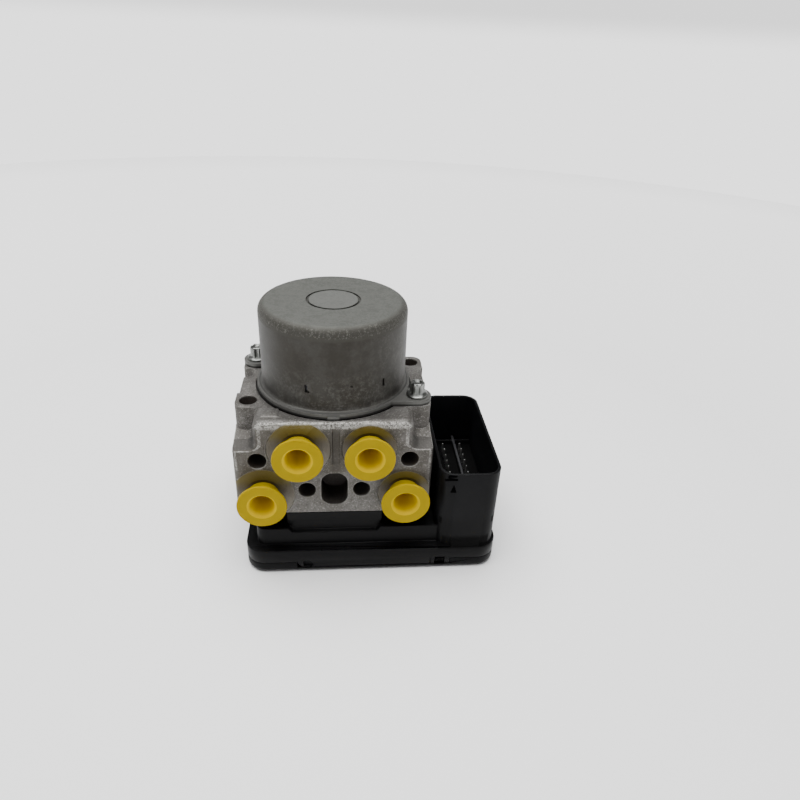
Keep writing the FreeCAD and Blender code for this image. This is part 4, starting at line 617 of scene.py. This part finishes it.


# %% [markdown]
# Edges are rubbed bright, and some of that brightness is a painted highlight where an edge
# catches the light. The brightest place is the brow, the round edge between the front and the
# top, which bulges a little over each upper port; its pale band is partly rubbed metal and
# partly a painted highlight, broadest on the bulges. It is speckled, as forged metal is when
# only its high points have been touched. The thin step before it is a painted highlight line,
# and the rims over the seats are bright too, partly as painted highlights, but not the groove
# down the middle and the smooth pad on the left of the top.


# %% Rubbed edges and painted highlights
def rub_and_highlight_edges(paint):
    ports = paint.ports
    off_groove = 1 - (paint.from_groove < GROOVE_REACH)
    worn = paint.worn_edge(0.8) * paint.ramp(paint.medium * 0.5 + paint.fine * 0.5, 0.34, 0.52)
    groove = (paint.from_groove < GROOVE_REACH) * paint.front
    pad = paint.within(paint.above, -0.1, 0.6, 0.05) * (paint.x < -18)
    rubbed_and_highlit = worn * (1 - groove * 0.9) * (1 - pad * 0.85)

    # Painted highlight: a thin pale line along the step where the front face turns into its
    # fillets.
    step_highlight = paint.within(paint.behind, 0.1, 0.6, 0.08) * (paint.z > 58)
    step_highlight = step_highlight * (1 - ports["seat"]) * off_groove
    step_highlight = step_highlight * paint.ramp(paint.fine * 0.5 + paint.medium * 0.5, 0.42, 0.6)
    rubbed_and_highlit = paint.most(rubbed_and_highlit, step_highlight * 0.7)

    # The brow is pale partly from rubbing and partly as a painted highlight where it catches
    # light.
    brow = paint.within(paint.behind, 0.3, 1.6, 0.5) * paint.within(paint.above, -3.0, -0.6, 0.8)
    brow = brow * (1 - ports["seat"] * 0.85) * paint.ramp(38.5 - paint.from_middle, 0, 3)
    crumbs = paint.fine * 0.5 + paint.grain * 0.3 + paint.medium * 0.6
    crumbs = paint.ramp(crumbs, 0.54, 0.82)
    rubbed_and_highlit = paint.most(rubbed_and_highlit, brow * crumbs)
    rims = ports["rim"] * (paint.behind < 1.6) * paint.ramp(paint.above, -5, -2)
    rubbed_and_highlit = paint.most(rubbed_and_highlit, rims * 0.6)
    rubbed_and_highlit = paint.most(rubbed_and_highlit, ports["bulge"] * crumbs * 0.85)
    paint.coat(rubbed_and_highlit * 0.75, (0.46, 0.45, 0.42))


# %% [markdown]
# Little light gets into the groove, the gap under the can's flange, the holes and the pocket.
# The walls of the holes are also dark with the grease that keeps their threads.


# %% Dark hollows
def dark_hollows(paint):
    groove = paint.within(paint.x, GROOVE_X - 1.8, GROOVE_X + 0.6, 1.6)
    groove = groove * paint.within(paint.z, 58, 78, 2) * paint.front
    paint.coat(groove * 0.6, (0.034, 0.03, 0.025))
    from_axis = paint.far_from(0, 0, "X", "Y")
    gap = paint.within(from_axis, CAN_RADIUS, CAN_RADIUS + 3.3, 0.1)
    gap = gap * paint.within(paint.above, -2.0, -0.2, 0.1)
    paint.coat(gap * 0.9, (0.012, 0.011, 0.01))
    paint.bores = 0.0
    for across, up in FRONT_HOLES:
        bore = (paint.far_from(across, up) < HOLE_RADIUS) * (1 - paint.front)
        paint.bores = paint.most(paint.bores, bore)
    for across, along in EAR_HOLES:
        bore = (paint.far_from(across, along, "X", "Y") < HOLE_RADIUS) * (paint.above < -0.8)
        paint.bores = paint.most(paint.bores, bore)
    paint.coat(paint.bores * 0.9, (0.02, 0.014, 0.01))
    pocket = (paint.from_middle < POCKET_HALF_WIDTH) * (paint.z < POCKET_HIGH)
    pocket = pocket * (paint.z > POCKET_LOW) * (paint.behind > 0.5) * (paint.behind < 21.8)
    paint.coat(pocket * 0.85, (0.035, 0.028, 0.025))


# %% Block metal
def block_aluminium():
    paint = BlockPaint()
    bare_metal(paint)
    stains_and_shade(paint)
    rub_and_highlight_edges(paint)
    dark_hollows(paint)
    paint.set("Metallic", 0.6 - paint.bores * 0.5 - paint.olive * 0.3)
    roughness = 0.46 + paint.fine * 0.16 - paint.wet * 0.08
    relief = paint.fine * 0.5 * paint.rough + paint.grain * 0.45 * paint.rough
    relief = relief + paint.ports["rings"] * 0.22 + paint.medium * 0.3
    return paint.finish(roughness, relief, 0.07)


# %% [markdown]
# The controller is moulded from black plastic filled with glass fibre. It is satin, with a very
# fine grain and a little dust. Its reflection is weaker than that of clear plastic, because its
# skin is slightly rough. What lies low is painted blacker, a painted shade, and the sloped foot
# of the socket's front wall is painted plain black, a painted shadow. No light reaches the floor
# of the deep socket, so it is painted black, and the top of the rib between its two rows of pins
# is painted as a grey line, a painted highlight.

# %% Places on the controller
SOCKET_LEFT = 52.3
SOCKET_RIGHT = 79.7
SOCKET_FRONT = -46.5
SOCKET_BACK = 26.8
SOCKET_FLOOR = 28.0
WALL_FRONT = -48.5
FOOT_LOW = 14.1
FOOT_HIGH = 18.5
RIB_X = 70.0
RIB_HALF_WIDTH = 0.8
RIB_TOP = 31.0
print("socket is", round(SOCKET_RIGHT - SOCKET_LEFT, 1), "mm wide inside")


# %% Black plastic
def controller_plastic():
    paint = Paint("controller_plastic", metallic=0.0, specular_ior_level=0.1)
    paint.edge = 0.5
    x = paint.axis("X")
    y = paint.axis("Y")
    z = paint.axis("Z")
    grain = paint.noise(0.25, 2, 0.5)
    smear = paint.noise(18, 4, 0.65)
    tones = paint.ramp(smear, 0.4, 0.7)
    paint.ground(tones, (0.0022, 0.0022, 0.0026), (0.0036, 0.0036, 0.0042))
    dust = paint.ramp(paint.noise(0.8, 4, 0.8), 0.66, 0.78)
    paint.coat(dust * 0.025, (0.5, 0.5, 0.48))
    # Painted shade: what lies low on the controller is painted blacker.
    low = 1 - paint.ramp(z, SOCKET_FLOOR - 1, SOCKET_FLOOR + 5)
    paint.coat(low * 0.7, (0.0004, 0.0004, 0.0006))
    # Painted shadow: the sloped foot of the socket's front wall is painted plain black.
    foot_shadow = paint.within(z, FOOT_LOW, FOOT_HIGH, 2.5)
    foot_shadow = foot_shadow * (y < WALL_FRONT + 1.5) * (x > SOCKET_LEFT - 0.3)
    paint.coat(foot_shadow, (0.0, 0.0, 0.0))

    in_socket = paint.within(x, SOCKET_LEFT, SOCKET_RIGHT, 0.1)
    in_socket = in_socket * paint.within(y, SOCKET_FRONT, SOCKET_BACK, 0.1)
    sunk = in_socket * paint.within(z, SOCKET_FLOOR - 1, RIB_TOP - 0.3, 0.2)
    paint.coat(sunk, (0.0, 0.0, 0.0))
    # Painted highlight: the top of the rib between the pins is painted grey.
    rib_highlight = in_socket * paint.within(x, RIB_X - RIB_HALF_WIDTH, RIB_X + RIB_HALF_WIDTH, 0.1)
    rib_highlight = rib_highlight * paint.within(z, RIB_TOP - 0.9, RIB_TOP + 0.4, 0.3)
    paint.coat(rib_highlight, (0.032, 0.032, 0.034))
    roughness = 0.3 + smear * 0.14 + sunk * (1 - rib_highlight) * 0.5 + foot_shadow * 0.4
    return paint.finish(roughness, grain, 0.01)


# %% [markdown]
# The plugs are of soft, waxy plastic that lets some light through its thin walls. Subsurface
# scattering gives the soft look of the flange. The inside of each cup is painted a brighter
# yellow and glows faintly in the same colour, more so towards its mouth: painted light that
# stands in for the light coming through the wall.

# %% Yellow plastic
PLUG_STAND = 8.8
PLUG_MOUTH = 6.9
PLUG_FRONT = FACE + PLUG_STAND


def plug_yellow():
    paint = Paint("plug_yellow", metallic=0.0, specular_ior_level=0.04, subsurface_weight=0.2)
    paint.set("Subsurface Radius", (3.0, 2.2, 0.1))
    paint.set("Subsurface Scale", MM)
    paint.set("Emission Strength", 1.0)
    paint.edge = 0.3
    grain = paint.noise(0.6, 3, 0.6)
    smear = paint.noise(7, 3, 0.6)
    inside = 0.0
    for port in PORTS:
        inside = paint.most(inside, paint.far_from(*port[:2]) < PLUG_MOUTH + 0.1)
    depth = paint.size_of(paint.axis("Y"))
    glow = inside * paint.ramp(depth, PLUG_FRONT - 14.6, PLUG_FRONT - 0.6)
    glow = glow * (1 - paint.ramp(depth, PLUG_FRONT - 1.0, PLUG_FRONT - 0.2))
    paint.ground(smear, (0.28, 0.197, 0.0), (0.32, 0.226, 0.0))
    # Painted light: the inside of each cup is a brighter yellow with a faint glow.
    paint.coat(inside * 0.8, (0.56, 0.39, 0.0))
    paint.set("Emission Color", paint.mix(glow, (0.0, 0.0, 0.0), (0.075, 0.052, 0.0)))
    return paint.finish(0.42 + grain * 0.12, grain * 0.4 + smear, 0.03)


# %% [markdown]
# ## Finishes of the smaller and the hidden pieces
#
# Most of these differ only in colour, shine and grain, so one function with a few numbers makes
# them all: a metal or a plastic with clouds of two tones and a fine relief. The marks on the
# socket are of the controller's plastic, with no shine at all where the mould is eroded.


# %% Plain finishes
def plain_finish(name, dark, light, metallic, roughness, grain_size=0.5, depth=0.02):
    paint = Paint(name, metallic=metallic)
    clouds = paint.noise(grain_size * 12, 4, 0.6)
    grain = paint.noise(grain_size, 3, 0.6)
    paint.ground(paint.ramp(clouds, 0.35, 0.65), dark, light)
    return paint.finish(roughness + grain * 0.1, grain, depth)


def key_mark_black():
    paint = Paint("key_mark_black", metallic=0.0, specular_ior_level=0.0)
    grain = paint.noise(0.2, 2, 0.5)
    paint.ground(grain, (0.0008, 0.0008, 0.0009), (0.0016, 0.0016, 0.0017))
    return paint.finish(0.8 + grain * 0.1, grain, 0.01)


PLAIN_FINISHES = {
    # dark tone, light tone, metallic, roughness, and for the pins their grain and its depth
    "bolt_zinc": ((0.13, 0.134, 0.128), (0.27, 0.275, 0.262), 1.0, 0.26),
    "pin_tin": ((0.2, 0.2, 0.2), (0.4, 0.4, 0.39), 0.9, 0.34, 0.2, 0.005),
    "inner_steel": ((0.2, 0.2, 0.205), (0.32, 0.32, 0.325), 1.0, 0.36),
    "core_steel": ((0.25, 0.25, 0.26), (0.35, 0.35, 0.36), 1.0, 0.45),
    "magnet_ferrite": ((0.06, 0.06, 0.065), (0.1, 0.1, 0.11), 0.2, 0.6),
    "copper": ((0.55, 0.24, 0.12), (0.75, 0.38, 0.22), 1.0, 0.3),
    "bush_bronze": ((0.42, 0.27, 0.12), (0.55, 0.38, 0.18), 1.0, 0.45),
    "plate_plastic": ((0.09, 0.05, 0.03), (0.14, 0.08, 0.05), 0.0, 0.5),
    "brush_carbon": ((0.02, 0.02, 0.02), (0.04, 0.04, 0.04), 0.1, 0.7),
    "seal_rubber": ((0.012, 0.012, 0.012), (0.022, 0.022, 0.022), 0.0, 0.7),
    "coil_plastic": ((0.02, 0.02, 0.022), (0.04, 0.04, 0.045), 0.0, 0.5),
    "board_green": ((0.01, 0.08, 0.03), (0.02, 0.14, 0.05), 0.0, 0.35),
    "piston_aluminium": ((0.5, 0.5, 0.5), (0.65, 0.65, 0.65), 1.0, 0.35),
}
finishes = {
    "can_steel": can_steel(),
    "block_aluminium": block_aluminium(),
    "controller_plastic": controller_plastic(),
    "plug_yellow": plug_yellow(),
}
for name, look in PLAIN_FINISHES.items():
    finishes[name] = plain_finish(name, *look)
for part in frame["record"]["subparts"]:
    mesh = nodes[part["node"]].data
    mesh.materials.clear()
    mesh.materials.append(finishes[part["material_slot"]])

# %% [markdown]
# ## Edges that catch the light
#
# No real edge is perfectly sharp. A forging and a moulding have edges that are rounded by a few
# tenths of a millimetre, and the thin bright line along them is what makes them look real. The
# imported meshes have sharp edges, so a copy of each large piece has its loose triangles merged,
# its flat regions joined into single faces, and a small bevel put on every edge that turns by
# more than twenty-five degrees.


# %% Helpers for pieces
def only(piece):
    """Makes the piece the one selected and active object."""
    bpy.ops.object.select_all(action="DESELECT")
    piece.select_set(True)
    bpy.context.view_layer.objects.active = piece


def copied(piece, name):
    """A second piece with a mesh of its own."""
    twin = piece.copy()
    twin.data = piece.data.copy()
    twin.name = name
    bpy.context.scene.collection.objects.link(twin)
    return twin


def merged(piece):
    """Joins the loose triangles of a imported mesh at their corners."""
    only(piece)
    bpy.ops.object.mode_set(mode="EDIT")
    bpy.ops.mesh.select_all(action="SELECT")
    bpy.ops.mesh.remove_doubles(threshold=MM / 1000)
    bpy.ops.object.mode_set(mode="OBJECT")


def bevelled(piece, width, segments=2, turn=25):
    """Rounds the edges of a piece that turn by more than so many degrees."""
    only(piece)
    bevel = piece.modifiers.new("edges", "BEVEL")
    bevel.width = width * MM
    bevel.segments = segments
    bevel.limit_method = "ANGLE"
    bevel.angle_limit = math.radians(turn)
    bevel.use_clamp_overlap = False
    bpy.ops.object.modifier_apply(modifier=bevel.name)
    bpy.ops.object.shade_smooth_by_angle(angle=math.radians(30))


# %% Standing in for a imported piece
slot_of = {part["node"]: part["material_slot"] for part in frame["record"]["subparts"]}
body_of = {}
for body, members in frame["record"]["behaviour"]["bodies"].items():
    body_of.update({member: body for member in members})


def stand_in(piece, node):
    """The piece rides on the node's body, stands for the node and takes its slot."""
    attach(piece, body_of[node])
    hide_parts(node)
    piece.data.materials.clear()
    piece.data.materials.append(finishes[slot_of[node]])
    print(piece.name, "faces:", len(piece.data.polygons))


# %% Rounded copies
def rounded_copy(node, width):
    piece = copied(nodes[node], f"{node}_rounded")
    merged(piece)
    bpy.ops.object.mode_set(mode="EDIT")
    bpy.ops.mesh.select_all(action="SELECT")
    bpy.ops.mesh.dissolve_limited(angle_limit=math.radians(0.6))
    bpy.ops.object.mode_set(mode="OBJECT")
    bevelled(piece, width)
    stand_in(piece, node)


rounded_copy("valve_block", 0.3)
rounded_copy("controller_housing", 0.35)
rounded_copy("controller_cover", 0.35)

# %% [markdown]
# ## Turned pieces
#
# Plugs and bolts are round, and pins and marks are bars of three or four sides, so one outline
# and one axis describe each of them. In Blender such a piece can be spun from its outline, but
# then its two ends have to be closed by hand. It is simpler to start from a filled circle and to
# pull its one face along the axis: each step extrudes the face to the next height and scales it
# to the next radius, and the piece is closed all the time.


# %% A lathe made of extrusions
def turned(name, profile, sides=64):
    """A closed piece about Z. Its profile is a list of radii and heights in millimetres."""
    radius, height = profile[0]
    bpy.ops.object.select_all(action="DESELECT")
    bpy.ops.mesh.primitive_circle_add(vertices=sides, radius=radius * MM, fill_type="NGON")
    piece = bpy.context.object
    piece.name = name
    bpy.ops.object.mode_set(mode="EDIT")
    bpy.ops.mesh.select_all(action="SELECT")
    bpy.ops.transform.translate(value=(0, 0, height * MM))
    for next_radius, next_height in profile[1:]:
        rise = (0, 0, (next_height - height) * MM)
        bpy.ops.mesh.extrude_region_move(TRANSFORM_OT_translate={"value": rise})
        scale = next_radius / radius
        bpy.ops.transform.resize(value=(scale, scale, 1), center_override=(0, 0, 0))
        radius, height = next_radius, next_height
    bpy.ops.mesh.select_all(action="SELECT")
    bpy.ops.mesh.normals_make_consistent(inside=False)
    bpy.ops.object.mode_set(mode="OBJECT")
    return piece


# %% Turning, placing and joining
def turned_by(piece, degrees):
    """Turns a piece about its own axis, in its mesh."""
    only(piece)
    piece.rotation_euler = (0, 0, math.radians(degrees))
    bpy.ops.object.transform_apply(location=False, rotation=True, scale=False)


def put(piece, place, tilt=0.0):
    """Turns a piece about X and sets it down, with the place in its mesh."""
    only(piece)
    piece.location = Vector(place) * MM
    piece.rotation_euler = (math.radians(tilt), 0, 0)
    bpy.ops.object.transform_apply(location=True, rotation=True, scale=True)


def joined(pieces, name):
    """Makes several pieces one object."""
    bpy.ops.object.select_all(action="DESELECT")
    for piece in pieces:
        piece.select_set(True)
    bpy.context.view_layer.objects.active = pieces[0]
    bpy.ops.object.join()
    pieces[0].name = name
    return pieces[0]


# %% [markdown]
# ## Port plugs
#
# Each port is closed by a soft yellow cup with a broad flange, so that a thumb can pull it out.
# Its stem sits in the port, its neck stands on the round seat, and its mouth narrows in one step
# inside. The mould leaves every rim slightly round. Six cups are alike, so one is turned about
# its axis with the block's face at height 0, and the copies are tilted to the front and back.

# %% Yellow cup
PLUG_RIM = 11.8
SEAT_DEPTH = 0.8
cup = turned("cup", [
    (5.1, -10.8),
    (5.9, -10.0),
    (5.9, -SEAT_DEPTH),
    (7.7, -SEAT_DEPTH),
    (8.0, PLUG_STAND - 2.2),
    (PLUG_RIM, PLUG_STAND - 1.4),
    (PLUG_RIM, PLUG_STAND),
    (PLUG_MOUTH, PLUG_STAND),
    (6.2, PLUG_STAND - 0.8),
    (5.9, PLUG_STAND - 2.2),
    (4.9, -SEAT_DEPTH),
    (4.4, -9.0),
])
bevelled(cup, 0.45, 3, 40)

# %% Cups in their ports
PLUGS = {
    # middle across, middle up, the face it stands on: -1 in front, 1 at the back
    "port_plug_upper_left": (-UPPER_PORT_X, UPPER_PORT_Z, -1),
    "port_plug_upper_right": (UPPER_PORT_X, UPPER_PORT_Z, -1),
    "port_plug_lower_left": (-LOWER_PORT_X, LOWER_PORT_Z, -1),
    "port_plug_lower_right": (LOWER_PORT_X, LOWER_PORT_Z, -1),
    "inlet_plug_left": (-UPPER_PORT_X, UPPER_PORT_Z, 1),
    "inlet_plug_right": (UPPER_PORT_X, UPPER_PORT_Z, 1),
}
for node, (x, z, face) in PLUGS.items():
    plug = copied(cup, f"{node}_cup")
    put(plug, (x, face * FACE, z), -90 * face)
    stand_in(plug, node)
bpy.data.objects.remove(cup)

# %% [markdown]
# ## Motor bolts
#
# Two bolts hold the motor. Their heads have six lobes for a socket, a loose washer face under
# them, and a shallow dish on top. The head is turned as a plain cylinder, and then the points of
# its wall are drawn in where the lobes part: the distance from the axis follows a wave with six
# periods round the circle, cut off at its top and bottom, because real lobes are flat there.

# %% Lobed bolts
BOLTS = ((-40.4, 20.0), (40.4, -20.0))
HEAD_LOW = 1.5
HEAD_HIGH = 7.0
HEAD_RADIUS = 3.75
DISH_RADIUS = 2.0
LOBES = 6
LOBE_DEPTH = 0.1


def draw_in_lobes(bolt):
    """Moves the points of the head's wall towards the axis where the lobes part."""
    for point in bolt.data.vertices:
        on_head = point.co.z > (HEAD_LOW - 0.05) * MM
        if on_head and point.co.xy.length > (DISH_RADIUS + 0.5) * MM:
            wave = 1.4 * math.cos(LOBES * math.atan2(point.co.y, point.co.x))
            point.co.xy *= 1 - LOBE_DEPTH + LOBE_DEPTH * max(-0.8, min(0.7, wave))


bolts = []
for number, (x, y) in enumerate(BOLTS):
    bolt = turned(f"bolt_{number}", [
        (2.3, -17.5),
        (2.9, -16.9),
        (2.9, 0.0),
        (5.2, 0.0),
        (5.2, 0.9),
        (4.5, 1.3),
        (HEAD_RADIUS, HEAD_LOW),
        (HEAD_RADIUS, 3.3),
        (HEAD_RADIUS, 5.2),
        (HEAD_RADIUS, HEAD_HIGH - 0.5),
        (HEAD_RADIUS - 0.5, HEAD_HIGH),
        (DISH_RADIUS, HEAD_HIGH),
        (DISH_RADIUS - 0.4, HEAD_HIGH - 0.7),
    ], 72)
    draw_in_lobes(bolt)
    put(bolt, (x, y, FLANGE_TOP))
    bevelled(bolt, 0.12, 2, 40)
    bolts.append(bolt)
stand_in(joined(bolts, "motor_bolts_lobed"), "motor_bolts")

# %% [markdown]
# ## Connector pins
#
# The contacts in the wiring socket are tinned pins in two rows. A pin starts square, and its tip
# tapers on four sides, so that the car's plug slides over it. Each is turned with four sides, on
# a circle through its corners, and given an eighth of a turn so that its sides face the walls.

# %% Tapered pins
PIN_X = (62.4, 72.3)
PIN_BACK = 14.5
PIN_PITCH = 5.5
PINS_IN_ROW = 6
PIN_CORNER = 0.7
PIN_TIP_CORNER = 0.45
pins_low, pins_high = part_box("connector_pins")
PIN_LOW = pins_low[2] / MM
PIN_HIGH = pins_high[2] / MM
pins = []
for x in PIN_X:
    for number in range(PINS_IN_ROW):
        pin = turned("pin", [
            (PIN_CORNER, PIN_LOW),
            (PIN_CORNER, PIN_HIGH - 1.0),
            (PIN_TIP_CORNER, PIN_HIGH),
        ], 4)
        turned_by(pin, 45)
        put(pin, (x, PIN_BACK - number * PIN_PITCH, 0))
        pins.append(pin)
all_pins = joined(pins, "connector_pins_tapered")
bevelled(all_pins, 0.08, 2, 40)
stand_in(all_pins, "connector_pins")

# %% [markdown]
# ## Key marks on the socket
#
# The socket's front wall carries a plain triangle under two short bars, which shows the first
# contact. They stand out from the wall by the thickness of paper. A triangle is a circle of
# three sides and a bar is one of four, each pulled forward, stretched to its size and bevelled.

# %% Triangle and bars
MARK_RISE = 0.25
MARKS = (
    # sides, turn in degrees, middle across, middle up, width, height
    (3, 0, 57.4, 49.4, 3.0, 4.6),
    (4, 45, 55.9, 55.6, 6.4, 1.1),
    (4, 45, 56.4, 57.6, 4.4, 1.1),
)
marks = []
for sides, degrees, x, z, width, height in MARKS:
    mark = turned("mark", [(1.0, -MARK_RISE), (0.92, MARK_RISE)], sides)
    turned_by(mark, degrees)
    mark.scale = (width / mark.dimensions.x * MM, height / mark.dimensions.y * MM, 1)
    bpy.ops.object.transform_apply(location=False, rotation=False, scale=True)
    put(mark, (x, WALL_FRONT, z), 90)
    marks.append(mark)
key_marks = joined(marks, "socket_key_marks")
bevelled(key_marks, 0.06, 2, 30)
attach(key_marks, body_of["controller_housing"])
key_marks.data.materials.clear()
key_marks.data.materials.append(key_mark_black())
print(key_marks.name, "faces:", len(key_marks.data.polygons))

# %% [markdown]
# ## Springs
#
# Four coil springs sit behind the pistons inside the block. A rigid spring would be cut through
# when its piston moves. Each one here is a merged copy with smooth shading that stands in for
# the imported spring, and the end next to the plug or the cap is found as its anchor; the copy
# is not squashed.

# %% Springs with their anchors
SPRINGS = {
    # the piston's joint, the number of the axis, the way to the fixed end, the stroke in mm
    "pump_spring_left": ("pump_stroke_left", 0, -1, 2.0),
    "pump_spring_right": ("pump_stroke_right", 0, 1, 2.0),
    "reservoir_spring_left": ("reservoir_stroke_left", 1, 1, 6.0),
    "reservoir_spring_right": ("reservoir_stroke_right", 1, 1, 6.0),
}
for node, (joint, along, way, stroke) in SPRINGS.items():
    spring = copied(nodes[node], f"{node}_coil")
    merged(spring)
    bpy.ops.object.shade_smooth_by_angle(angle=math.radians(40))
    stand_in(spring, node)
    low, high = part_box(node)
    anchor = [(a + b) / 2 for a, b in zip(low, high)]
    anchor[along] = high[along] if way > 0 else low[along]
    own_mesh(spring)
